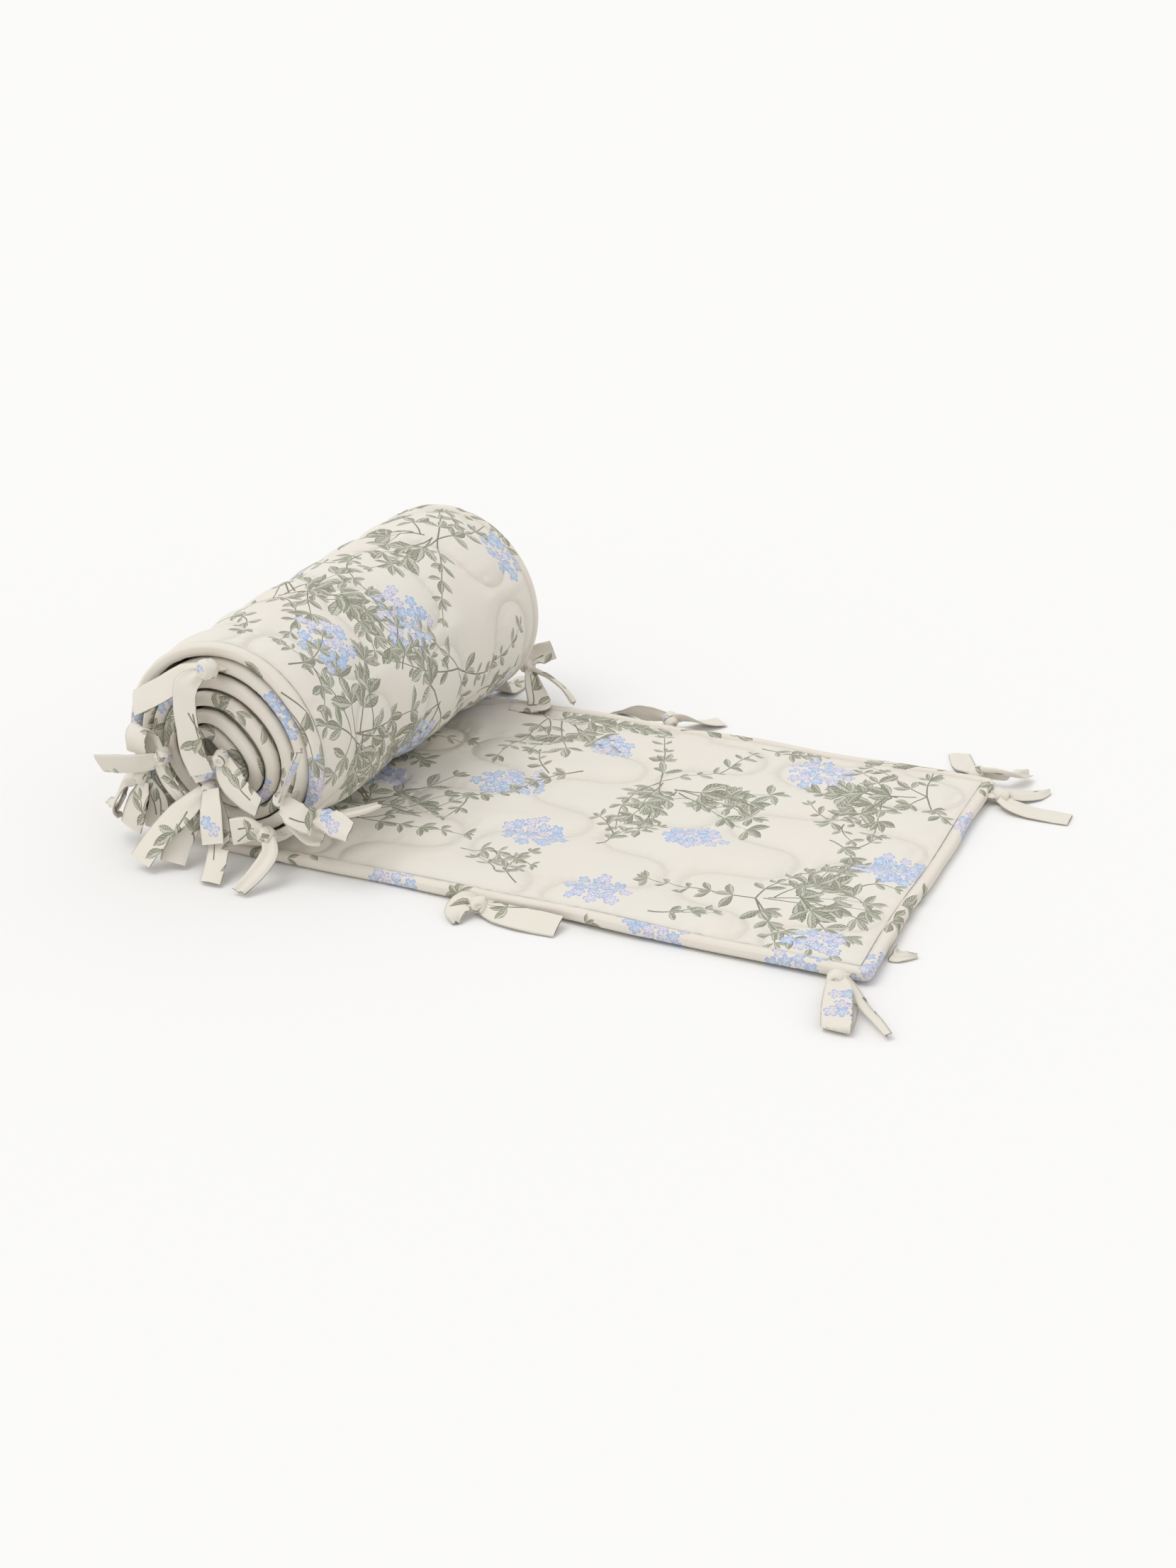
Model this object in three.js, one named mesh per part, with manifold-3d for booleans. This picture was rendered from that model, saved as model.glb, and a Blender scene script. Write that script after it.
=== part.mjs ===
// A crib bumper: one long quilted panel with a bound edge and a row of ties along each long
// side. It is wound up from one end, and the other end is left lying flat.
// Millimetres. +X runs along the flat end, +Y across the cloth, +Z up from the surface.
// While it is being shaped, x = 0 is under the middle of the roll and y = 0 is the front edge.

import * as THREE from 'three';
import { mergeVertices } from 'three/addons/utils/BufferGeometryUtils.js';
import Module from 'manifold-3d';

const wasm = await Module();
wasm.setup();

const fullTurn = Math.PI * 2;
const radians = Math.PI / 180;
const { lerp, clamp, smoothstep } = THREE.MathUtils;

// Driving dimensions of the cloth.
const width = 300;
const flatRun = 428;
const contactX = 1.5;
const loft = 9;
const pressedThickness = 6.4;
const seamGap = 0.5;

const binding = { width: 10, roundness: 2.4, outerHalf: 1.9, fullHalf: 3.9 };

// The roll: its outside radius at the front and back edge, the advance of each turn, and how
// it lies. Its middle is a flattened fold that slants down to the right and has sunk a little,
// its lower half bulges, its back end sits further right, and its turns slip sideways.
const roll = {
  frontRadius: 75.2,
  backRadius: 79.6,
  loft: 7.9,
  pitch: 10.9,
  turns: 5.85,
  stretch: 9,
  slant: 46 * radians,
  squareness: 0.2,
  sag: 9.5,
  drift: 7,
  bulge: 4,
  skew: 5.5,
  slip: 2.6,
  slipRate: 0.83,
};
const lastAngle = roll.turns * fullTurn;
const meanRadius = (roll.frontRadius + roll.backRadius - roll.loft) / 2;
const fall = roll.pitch / fullTurn;

// The quilting: wavy stitch lines across the cloth, every other one mirrored.
const quilting = { rowPitch: 72, firstRow: 42, wave: 94, swing: 30, bulge: 6, dip: 2.6, groove: 8 };

// Mesh steps: fine where the quilting shows, plain elsewhere.
const mesh = { fineStep: 10.5, stepsPerTurn: 24, bindingStep: 36, fade: 17 };

// ------------------------------------------------------------------ the lie of the cloth

function windAngle(length) {
  const inside = Math.max(meanRadius * meanRadius - 2 * fall * length, 0);
  return (meanRadius - Math.sqrt(inside)) / fall;
}

function windLength(angle) {
  return meanRadius * angle - fall * angle * angle / 2;
}

const clothLength = flatRun + windLength(lastAngle);

function windPoint(angle, across) {
  const outside = lerp(roll.frontRadius, roll.backRadius, across / width);
  const radius = outside - roll.loft / 2 - fall * angle;
  const along = Math.cos(roll.slant) * -Math.sin(angle) + Math.sin(roll.slant) * Math.cos(angle);
  const squared = along * Math.sqrt((1 + roll.squareness) / (along * along + roll.squareness));
  const spent = angle / lastAngle;
  const stretch = roll.stretch * spent * squared;
  const bulge = roll.bulge * (radius / outside) * -Math.sin(angle) * (1 + Math.cos(angle)) / 2;
  const skew = roll.skew * (across / width) * smoothstep(angle, 0, 0.6);
  const middleX = contactX + skew - roll.drift * spent;
  const middleZ = outside - roll.sag * spent;
  return new THREE.Vector2(
    middleX - radius * Math.sin(angle) + bulge + stretch * Math.cos(roll.slant),
    middleZ - radius * Math.cos(angle) - stretch * Math.sin(roll.slant),
  );
}

// The cloth is a little thinner where it is wound.
function fullLoft(length) {
  return lerp(loft, roll.loft, smoothstep(length, flatRun - roll.frontRadius, flatRun));
}

// A point of the cloth: its distance from the flat end, its distance from the front edge, and
// its height over the middle of the cloth. Height is up on the flat end and inward in the roll.
function clothPoint(length, across, height) {
  if (length <= flatRun) {
    return new THREE.Vector3(contactX + flatRun - length, across, fullLoft(length) / 2 + height);
  }
  const angle = windAngle(length - flatRun);
  const nudge = 0.01;
  const middle = windPoint(angle, across);
  const tangent = windPoint(angle + nudge, across).sub(windPoint(angle - nudge, across)).normalize();
  const slide = roll.slip * Math.sin(angle * roll.slipRate) * Math.min(angle / fullTurn, 1);
  return new THREE.Vector3(
    middle.x + tangent.y * height,
    across + slide,
    middle.y - tangent.x * height,
  );
}

// ------------------------------------------------------------------ quilting

function stitchPoints() {
  const points = [];
  const quiltedLength = flatRun + windLength(fullTurn * 1.1);
  const rows = Math.ceil(quiltedLength / quilting.rowPitch);
  const stepsPerWave = 16;
  const steps = Math.ceil(width / quilting.wave) * stepsPerWave;
  for (let row = 0; row <= rows; row += 1) {
    const side = row % 2 ? -1 : 1;
    const rowLength = quilting.firstRow + row * quilting.rowPitch;
    for (let step = 0; step <= steps; step += 1) {
      const phase = fullTurn * step / stepsPerWave;
      points.push({
        length: rowLength + side * quilting.swing * Math.sin(phase),
        across: quilting.wave * step / stepsPerWave - quilting.bulge * Math.sin(2 * phase),
      });
    }
  }
  return points;
}
const stitches = stitchPoints();

function stitchDip(length, across) {
  let nearest = Infinity;
  for (const stitch of stitches) {
    nearest = Math.min(nearest, Math.hypot(stitch.length - length, stitch.across - across));
  }
  return quilting.dip * Math.exp(-((nearest / quilting.groove) ** 2));
}

// Half the thickness of the panel: pressed flat at the binding, full away from it, and drawn
// in along the stitch lines where the quilting is raised.
function halfThickness(length, across, quilted) {
  const margin = Math.min(
    across - binding.width,
    width - binding.width - across,
    length - binding.width,
    clothLength - binding.width - length,
  );
  const full = smoothstep(margin, -0.5 * mesh.fade, mesh.fade);
  const plain = lerp(pressedThickness / 2, fullLoft(length) / 2, clamp(2 * full - 1, 0, 1));
  if (!quilted) return plain;
  return plain - stitchDip(length, across) * clamp(margin / mesh.fade, 0, 1);
}

// ------------------------------------------------------------------ mesh helpers

class ShellBuilder {
  constructor() {
    this.positions = [];
    this.triangles = [];
  }

  point(position) {
    this.positions.push(position.x, position.y, position.z);
    return this.positions.length / 3 - 1;
  }

  // Joins two rows of { index, at } by triangles, stepping along whichever lags behind.
  bridge(first, second, flip = false) {
    let i = 0;
    let j = 0;
    while (i < first.length - 1 || j < second.length - 1) {
      const stepFirst = j === second.length - 1
        || (i < first.length - 1 && first[i + 1].at <= second[j + 1].at);
      const ahead = stepFirst ? first[i + 1] : second[j + 1];
      const corners = [first[i].index, second[j].index, ahead.index];
      if (flip) corners.reverse();
      this.triangles.push(...corners);
      if (stepFirst) i += 1;
      else j += 1;
    }
  }

  // Joins closed rings of points into a tube with flat ends.
  tube(rings) {
    const closed = rings.map((ring) => [...ring, ring[0]].map((index, at) => ({ index, at })));
    for (let i = 0; i < rings.length - 1; i += 1) this.bridge(closed[i], closed[i + 1]);
    const last = rings[rings.length - 1];
    for (let i = 1; i < last.length - 1; i += 1) {
      this.triangles.push(rings[0][0], rings[0][i], rings[0][i + 1]);
      this.triangles.push(last[0], last[i + 1], last[i]);
    }
  }

  geometry() {
    const geometry = new THREE.BufferGeometry();
    geometry.setAttribute('position', new THREE.Float32BufferAttribute(this.positions, 3));
    geometry.setIndex(this.triangles);
    return geometry;
  }
}

function evenSteps(from, to, step) {
  const count = Math.max(1, Math.round(Math.abs(to - from) / step));
  return Array.from({ length: count + 1 }, (_, i) => lerp(from, to, i / count));
}

function turnLengths(fromAngle, toAngle, stepsPerTurn) {
  const angles = evenSteps(fromAngle, toAngle, fullTurn / stepsPerTurn);
  return angles.map((angle) => flatRun + windLength(angle));
}

// ------------------------------------------------------------------ quilted panel

const innerEdge = binding.width;
const panelEnd = clothLength - binding.width;
const fineColumns = evenSteps(innerEdge, width - innerEdge, mesh.fineStep);
const plainColumns = [innerEdge, innerEdge + mesh.fade, width - innerEdge - mesh.fade, width - innerEdge];

function clothRow(shell, length, columns, side, quilted) {
  return columns.map((across) => {
    const height = side * halfThickness(length, across, quilted);
    return { index: shell.point(clothPoint(length, across, height)), at: across };
  });
}

function clothFace(shell, bands, side) {
  const rows = bands.flatMap(({ lengths, columns, quilted }) => lengths.map((length) => (
    { length, points: clothRow(shell, length, columns, side, quilted) }
  )));
  for (let i = 0; i < rows.length - 1; i += 1) {
    shell.bridge(rows[i].points, rows[i + 1].points, side > 0);
  }
  const edge = (pick) => rows.map(({ length, points }) => ({ index: pick(points).index, at: length }));
  return {
    front: edge((points) => points[0]),
    back: edge((points) => points[points.length - 1]),
    start: rows[0].points,
    end: rows[rows.length - 1].points,
  };
}

function quiltedPanel() {
  const shell = new ShellBuilder();
  const coreAngle = windAngle(panelEnd - flatRun);
  const shownTurn = fullTurn * 1.04;
  const hiddenRun = 14;
  const { stepsPerTurn, fineStep, fade } = mesh;
  const step = fullTurn / stepsPerTurn;
  const shownTop = evenSteps(innerEdge, flatRun - hiddenRun, fineStep);
  const woundTop = turnLengths(0, coreAngle, stepsPerTurn);
  const flatUnder = [innerEdge, innerEdge + fade, flatRun - hiddenRun, flatRun];
  const shownUnder = turnLengths(step / 2, shownTurn, stepsPerTurn * 2);
  const woundUnder = turnLengths(fullTurn + step * 2, coreAngle, stepsPerTurn);
  const topFace = clothFace(shell, [
    { lengths: shownTop, columns: fineColumns, quilted: true },
    { lengths: woundTop, columns: plainColumns, quilted: false },
  ], 1);
  const underFace = clothFace(shell, [
    { lengths: flatUnder, columns: plainColumns, quilted: false },
    { lengths: shownUnder, columns: fineColumns, quilted: true },
    { lengths: woundUnder, columns: plainColumns, quilted: false },
  ], -1);
  shell.bridge(topFace.front, underFace.front, true);
  shell.bridge(topFace.back, underFace.back);
  shell.bridge(topFace.start, underFace.start);
  shell.bridge(topFace.end, underFace.end, true);
  return shell.geometry();
}

// ------------------------------------------------------------------ binding

// The binding's section: depth in from the bare edge, and height over the cloth's middle.
const bindingSection = [
  { depth: 0, height: -binding.outerHalf },
  { depth: 0, height: binding.outerHalf },
  { depth: binding.roundness, height: binding.fullHalf },
  { depth: binding.width - seamGap, height: pressedThickness / 2 },
  { depth: binding.width - seamGap, height: -pressedThickness / 2 },
  { depth: binding.roundness, height: -binding.fullHalf },
];

// Every station says where a given depth of the binding lies on the cloth.
function bindingStations() {
  const corner = binding.width + 4;
  const { stepsPerTurn, bindingStep } = mesh;
  const coreAngle = windAngle(clothLength - corner - flatRun);
  const lengths = [
    ...evenSteps(corner, flatRun, bindingStep),
    ...turnLengths(fullTurn / stepsPerTurn, coreAngle, stepsPerTurn),
  ];
  const rows = evenSteps(corner, width - corner, bindingStep);
  const blunt = (depth) => Math.max(depth, binding.roundness);
  const front = lengths.map((length) => (depth) => [length, depth]);
  const back = lengths.map((length) => (depth) => [length, width - depth]);
  const outerEnd = rows.map((across) => (depth) => [depth, across]);
  const innerEnd = rows.map((across) => (depth) => [clothLength - depth, across]);
  return [
    ...front.reverse(),
    (depth) => [blunt(depth), blunt(depth)],
    ...outerEnd,
    (depth) => [blunt(depth), width - blunt(depth)],
    ...back,
    (depth) => [clothLength - blunt(depth), width - blunt(depth)],
    ...innerEnd.reverse(),
    (depth) => [clothLength - blunt(depth), blunt(depth)],
  ];
}

function bindingLoop() {
  const shell = new ShellBuilder();
  const rings = bindingStations().map((place) => {
    const ring = bindingSection.map(({ depth, height }, at) => {
      const [length, across] = place(depth);
      return { index: shell.point(clothPoint(length, across, height)), at };
    });
    return [...ring, { index: ring[0].index, at: ring.length }];
  });
  rings.forEach((ring, i) => shell.bridge(ring, rings[(i + 1) % rings.length]));
  return shell.geometry();
}

// ------------------------------------------------------------------ ties

// A tie is a flat band of folded cloth, knotted at the binding, with loose tails. Each row of a
// tail is one bend: where the middle of the band is, which way its face looks (its turn about
// +Z from the front, then its tilt up) and how much of its width is spread out there.
const tie = { width: 18, thickness: 1.6, stepsPerBend: 2 };

const frontTies = [
  {
    name: 'corner',
    knot: { x: 413, y: -9, z: 8.5, radius: 6 },
    tails: [
      [
        [413, -11, 9.5, 0, 60, 0.6], [418, -22, 10.5, 0, 75, 0.9], [423, -39, 9.5, 0, 80, 1],
        [427, -52, 7, 0, 70, 1], [428, -55.5, 4.2, 0, 0, 1], [427.5, -52, 2, 0, -85, 1],
        [426, -38, 1.5, 0, -90, 0.95], [424, -22, 2.4, 0, -90, 0.7],
      ],
      [
        [416, -8, 8.5, -50, 20, 0.4], [425, -15, 7, -50, 20, 0.3], [436, -29, 5, -50, 15, 0.35],
        [447, -40, 4.6, -40, 20, 0.35], [456, -49, 4, -40, 20, 0.2],
      ],
    ],
  },
  {
    name: 'second',
    knot: { x: 184, y: -8.5, z: 7, radius: 5.5 },
    tails: [
      [
        [186, -9.5, 6.5, 0, 60, 0.5], [197, -11, 5.6, 0, 66, 0.85],
        [212, -11.5, 5.2, 0, 66, 1], [226, -11, 5.2, 0, 66, 1], [238, -10.5, 5.2, 0, 66, 0.95],
      ],
      [
        [182, -9, 9, 0, 60, 0.5], [175, -11, 9, 0, 50, 0.8], [173, -18, 5.6, 0, 40, 0.95],
        [177, -27, 1.8, 0, 60, 0.3],
      ],
    ],
  },
  {
    name: 'low_left',
    knot: { x: -59, y: -9, z: 49, radius: 5.5 },
    tails: [
      [
        [-61, -10, 50, -40, 0, 0.6], [-69, -12, 47, -60, -5, 0.9], [-76, -14, 36, -65, -5, 1],
        [-80, -15, 25, -60, -20, 1], [-80.5, -12.5, 22.5, -60, -88, 1],
        [-78, -10.5, 26, 120, -10, 0.95], [-72, -10, 37, 120, 0, 0.8],
      ],
      [
        [-57, -11, 46, -10, 0, 0.6], [-58, -16, 37, -10, 0, 0.95],
        [-61, -19, 26, -10, -5, 1], [-64, -20, 15.5, -10, -8, 1],
      ],
      [
        [-56, -9.5, 46.5, 0, 0, 0.6], [-51, -9, 34, 10, 0, 1], [-51, -9, 22, 10, -5, 1],
        [-52, -10, 13, 10, -5, 0.85],
      ],
    ],
  },
  {
    name: 'left',
    knot: { x: -41, y: -9.5, z: 66, radius: 5.5 },
    tails: [
      [
        [-42, -11, 65, -5, -20, 0.6], [-55, -17, 61.5, 0, -28, 1], [-69, -19.5, 59.5, 0, -28, 1],
        [-83, -21.5, 58, 0, -28, 1],
      ],
      [
        [-46, -9, 69, 180, 0, 0.7], [-52, -8.5, 78, 180, 10, 1], [-55, -12, 85.5, 0, 80, 1],
        [-57, -15.5, 79, -10, 5, 1], [-57.5, -15, 68, -10, -10, 1],
      ],
      [
        [-42, -12, 62, 20, -10, 0.5], [-36, -14, 52, 30, -10, 0.5], [-27, -14, 42, 40, -10, 0.5],
        [-19, -13, 34, 40, -10, 0.45],
      ],
    ],
  },
  {
    name: 'top',
    knot: { x: -1, y: -10.5, z: 133, radius: 7.5 },
    tails: [
      [
        [-5, -11, 132, 0, 25, 0.55], [-19, -12, 125, 0, 30, 1], [-36, -11.5, 114, 0, 30, 1],
        [-51, -11, 105, 0, 30, 1], [-60, -10, 99.5, 0, 30, 0.95],
      ],
      [
        [-6, -14, 130, 0, 10, 0.55], [-13, -18, 122, 0, 0, 1], [-14.5, -19, 108, 0, -5, 1],
        [-13.5, -19, 92, 0, -5, 1], [-12, -18, 76, 10, -8, 1], [-7, -17, 63, 20, -10, 0.9],
      ],
    ],
  },
  {
    name: 'right',
    knot: { x: 47, y: -9.5, z: 52, radius: 5.5 },
    tails: [
      [
        [48, -11, 54, 90, 0, 0.6], [53, -13, 63, 95, 0, 0.9], [59, -14, 76, 95, 0, 0.9],
        [65, -14, 90, 95, 5, 0.6],
      ],
      [
        [48, -13, 50, 0, 20, 0.7], [57, -18, 50, 0, 25, 1], [66, -19, 47, 10, 15, 1],
        [71.5, -16, 44.5, 80, 0, 1], [68, -13, 42, 170, -15, 1], [59, -11.5, 41, 180, -10, 0.9],
      ],
      [
        [69, -14, 45, 0, 20, 0.5], [78, -13, 46, 0, 30, 0.8], [88, -14, 45, 0, 30, 1],
        [98, -15, 42, 0, 30, 0.75],
      ],
      [
        [79, -11, 47, 60, 40, 0.4], [87, -3, 47, 60, 40, 0.35], [93, 10, 45.5, 60, 40, 0.35],
        [97, 24, 44, 60, 40, 0.25],
      ],
      [
        [49, -11, 48, 20, 20, 0.5], [58, -10, 37, 20, 40, 0.7], [67, -9, 30.5, 20, 50, 0.75],
        [74, -8, 29, 20, 50, 0.5],
      ],
    ],
  },
  {
    name: 'low_right',
    knot: { x: 36, y: -13, z: 27, radius: 6 },
    tails: [
      [
        [33, -15, 29, 0, 10, 0.6], [25, -20, 31, 0, 10, 1], [17, -24.5, 30, 0, 5, 1],
      ],
      [
        [38.5, -15, 26, 20, 20, 0.55], [44.5, -25, 20.5, 10, 30, 0.7], [41, -37, 11, 0, 45, 0.7],
        [36, -49, 3.8, 0, 60, 0.55],
      ],
    ],
  },
  {
    name: 'low',
    knot: { x: -6, y: -10, z: 50, radius: 6 },
    tails: [
      [
        [-9, -13, 48, 0, 15, 0.7], [-23, -24, 34, 0, 30, 1], [-33, -34, 21, 0, 35, 1],
        [-40, -45, 7.5, 0, 40, 1],
      ],
      [
        [-8, -12, 45, 30, 0, 0.6], [-17, -20, 30, 30, 10, 0.9], [-22, -28, 15, 30, 20, 1],
        [-22, -35, 5.4, 30, 25, 0.95],
      ],
      [
        [-3, -15, 52, 0, 0, 0.8], [1, -22, 43, 0, 5, 1], [4, -27, 32, 0, 5, 1],
        [6, -30, 22, 0, 0, 1],
      ],
      [
        [-4, -12, 47, 0, 0, 0.6], [5, -20, 30, 0, 5, 0.9], [9, -31, 14, 0, 20, 0.9],
        [12, -45, 3, 0, 60, 0.85],
      ],
    ],
  },
  {
    name: 'core',
    knot: { x: 3, y: -9, z: 73, radius: 5 },
    tails: [
      [
        [5, -10, 72, 10, 5, 0.7], [9.5, -12, 64, 15, 5, 1], [15, -13.5, 56.5, 20, 8, 1],
        [24, -15, 51, 10, 5, 1], [33, -16, 47, 0, 0, 0.9],
      ],
      [
        [1, -10.5, 70, -20, 0, 0.5], [-8, -12, 65.5, -10, 0, 0.9], [-19, -12.5, 60, -10, 0, 0.95],
      ],
    ],
  },
];

// The ties of the back edge and of the flat end that show: their knots and tails, as above.
const backTies = [
  {
    name: 'corner',
    knot: { x: 411.5, y: 308.5, z: 7, radius: 5.5 },
    tails: [
      [
        [414, 309.5, 9, 180, 30, 0.5], [425, 308, 9.5, 180, 30, 0.6], [434, 309.5, 9.5, 180, 40, 0.6],
        [440, 317, 9, 120, 50, 0.6], [443, 328, 6, 100, 60, 0.5],
      ],
      [
        [409, 310, 6, 180, 40, 0.5], [403, 318, 4, 180, 70, 0.9], [396, 332, 1.5, 180, 90, 1],
        [388, 350, 1.4, 180, 90, 0.9],
      ],
    ],
  },
  {
    name: 'second',
    knot: { x: 180.5, y: 308.5, z: 8, radius: 5.5 },
    tails: [
      [
        [177, 309.5, 9, 180, 20, 0.5], [167, 310, 9.5, 180, 20, 0.8], [156, 310, 9, 180, 20, 0.85],
        [146, 313, 6, 180, 55, 0.9], [132, 320, 1.8, 180, 90, 0.9],
      ],
      [
        [183, 309.5, 10, 180, 30, 0.5], [190, 312, 9.5, 180, 40, 0.8], [199, 320, 5, 180, 70, 0.95],
        [211, 335, 1.5, 180, 90, 0.9],
      ],
    ],
  },
  {
    name: 'low_right',
    knot: { x: 64, y: 308.5, z: 33, radius: 5.5 },
    tails: [
      [
        [66, 309, 36, 150, 10, 0.5], [72, 313, 41, 150, 10, 0.9], [82, 317, 45, 150, 20, 0.9],
      ],
      [
        [67, 307, 31, 60, 20, 0.5], [75, 298, 22, 60, 30, 0.9], [84, 288, 14, 30, 60, 1],
        [86, 283, 12.5, 10, 90, 1], [78, 280, 11, 0, 88, 0.95], [66, 279, 10.6, 0, 90, 0.8],
      ],
      [
        [67, 309, 31, 120, 30, 0.5], [79, 308, 27.5, 120, 40, 0.6], [91, 306, 23.5, 120, 45, 0.7],
        [101, 303, 18, 120, 45, 0.6], [107, 300, 13, 120, 40, 0.3],
      ],
    ],
  },
];

const endTies = [
  {
    name: 'back',
    knot: { x: 435.6, y: 281, z: 6, radius: 5.2 },
    tails: [
      [
        [437, 278, 6, 0, 90, 0.6], [447, 273, 4, 0, 90, 0.95], [464, 272, 1.8, 0, 90, 1],
        [485, 273, 1.4, 0, 90, 1],
      ],
      [
        [437, 284, 6, 0, 90, 0.5], [446, 291, 4.5, 0, 80, 0.75], [455, 301, 3, 0, 85, 0.75],
        [462, 312, 1.6, 0, 90, 0.3],
      ],
    ],
  },
];

// The tie that is tucked under the flat end: only its pointed tail comes out.
const tuckedTail = [
  [431.2, 42, 4, 0, 60, 0.7], [433.5, 43, 1.9, 0, 80, 0.75], [439, 45.5, 1.4, 0, 90, 0.5],
  [444.5, 48, 1.3, 0, 90, 0.12],
];

// The ties behind the roll: how far along the cloth each is sewn, how far its two tails lean
// sideways, how far they stand off the roll at their ends, and how long they are.
const hangingTies = [
  { name: 'low_left', at: 513, leans: [-19, -2], away: 3, length: 70 },
  { name: 'top', at: 1051, leans: [-13, 11], away: 9, length: 66 },
  { name: 'left', at: 1305, leans: [-9, 8], away: 12, length: 50 },
  { name: 'right', at: 1483, leans: [-10, 9], away: 3, length: 64 },
  { name: 'low', at: 1756, leans: [-8, 12], away: 4, length: 70 },
  { name: 'core', at: clothLength - 18, leans: [-11, 8], away: 13, length: 52 },
];

function hangingTail({ x, y, z, radius }, lean, away, length) {
  const restHeight = 1.9;
  const bendHeight = 7;
  const startSpread = 0.55;
  const drop = Math.min(length, z - radius / 2 - bendHeight);
  const tail = [0, 0.3, 0.65, 1].map((part) => (
    [x + lean * part, y + 2 + away * part, z - radius / 2 - drop * part, 180, 0, part ? 1 : startSpread]
  ));
  const lying = length - drop;
  if (lying > bendHeight) {
    tail.push([x + lean * 1.1, y + away + bendHeight, restHeight + 1.4, 180, 60, 1]);
    tail.push([x + lean * 1.3, y + away + bendHeight / 2 + lying, restHeight, 180, 90, 0.9]);
  }
  return tail;
}

function hangingTie({ name, at, leans, away, length }) {
  const sewn = clothPoint(at, width, 0);
  const knotStandOff = 8.5;
  const knot = { x: sewn.x, y: sewn.y + knotStandOff, z: sewn.z, radius: 5.5 };
  const tails = leans.map((lean) => hangingTail(knot, lean, away, length));
  return { name, knot, tails };
}

function faceDirection({ turn, tilt }) {
  const flat = Math.cos(tilt * radians);
  return new THREE.Vector3(
    Math.sin(turn * radians) * flat,
    -Math.cos(turn * radians) * flat,
    Math.sin(tilt * radians),
  );
}

function bandGeometry(rows) {
  const bends = rows.map(([x, y, z, turn, tilt, spread]) => ({ x, y, z, turn, tilt, spread }));
  const path = new THREE.CatmullRomCurve3(
    bends.map(({ x, y, z }) => new THREE.Vector3(x, y, z)), false, 'centripetal',
  );
  const faces = bends.map(faceDirection);
  const steps = (bends.length - 1) * tie.stepsPerBend;
  const shell = new ShellBuilder();
  const rings = Array.from({ length: steps + 1 }, (_, step) => {
    const bend = Math.min(Math.floor(step / tie.stepsPerBend), bends.length - 2);
    const part = step / tie.stepsPerBend - bend;
    const middle = path.getPoint(step / steps);
    const tangent = path.getTangent(step / steps);
    const face = faces[bend].clone().lerp(faces[bend + 1], part);
    const across = tangent.clone().cross(face).normalize();
    const outward = across.clone().cross(tangent);
    const spread = lerp(bends[bend].spread, bends[bend + 1].spread, part);
    across.multiplyScalar(tie.width * spread / 2);
    outward.multiplyScalar(tie.thickness / 2);
    return [[1, 1], [-1, 1], [-1, -1], [1, -1]].map(([side, level]) => (
      shell.point(middle.clone().addScaledVector(across, side).addScaledVector(outward, level))
    ));
  });
  shell.tube(rings);
  return shell.geometry();
}

function knotGeometry({ x, y, z, radius }) {
  const geometry = new THREE.IcosahedronGeometry(radius, 1);
  geometry.deleteAttribute('normal');
  geometry.deleteAttribute('uv');
  geometry.scale(1, 0.85, 0.95);
  geometry.translate(x, y, z);
  return mergeVertices(geometry);
}

function toSolid(geometry) {
  return new wasm.Manifold(new wasm.Mesh({
    numProp: 3,
    vertProperties: geometry.attributes.position.array,
    triVerts: Uint32Array.from(geometry.index.array),
  }));
}

function fromSolid(solid) {
  const { vertProperties, triVerts } = solid.getMesh();
  const geometry = new THREE.BufferGeometry();
  geometry.setAttribute('position', new THREE.BufferAttribute(vertProperties, 3));
  geometry.setIndex(new THREE.BufferAttribute(triVerts, 1));
  return geometry;
}

function tieGeometry({ knot, tails }) {
  const bands = tails.map((rows) => toSolid(bandGeometry(rows)));
  return fromSolid(bands.reduce((whole, band) => whole.add(band), toSolid(knotGeometry(knot))));
}

// ------------------------------------------------------------------ assembly

function clothMaterial(hex) {
  return new THREE.MeshStandardMaterial({ color: hex, roughness: 0.92, metalness: 0 });
}

function namedMesh(name, geometry, hex) {
  const piece = new THREE.Mesh(geometry, clothMaterial(hex));
  piece.name = name;
  return piece;
}

const bumper = new THREE.Group();
bumper.add(namedMesh('quilted_panel', quiltedPanel(), '#e6e1d8'));
bumper.add(namedMesh('binding', bindingLoop(), '#e3dcd2'));
const tieSets = {
  front: frontTies,
  back: [...backTies, ...hangingTies.map(hangingTie)],
  end: endTies,
};
for (const [edge, rows] of Object.entries(tieSets)) {
  for (const row of rows) {
    bumper.add(namedMesh(`tie_${edge}_${row.name}`, tieGeometry(row), '#dfd9cd'));
  }
}
bumper.add(namedMesh('tie_end_front', bandGeometry(tuckedTail), '#dfd9cd'));

// The origin is on the surface, under the middle of the whole.
const whole = new THREE.Box3().setFromObject(bumper);
const middle = whole.getCenter(new THREE.Vector3());
bumper.position.set(-middle.x, -middle.y, -whole.min.z);

export default bumper;
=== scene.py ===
import math
import random

import bpy
import numpy as np
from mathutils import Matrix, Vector
from mathutils.geometry import delaunay_2d_cdt
from mathutils.kdtree import KDTree


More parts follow.
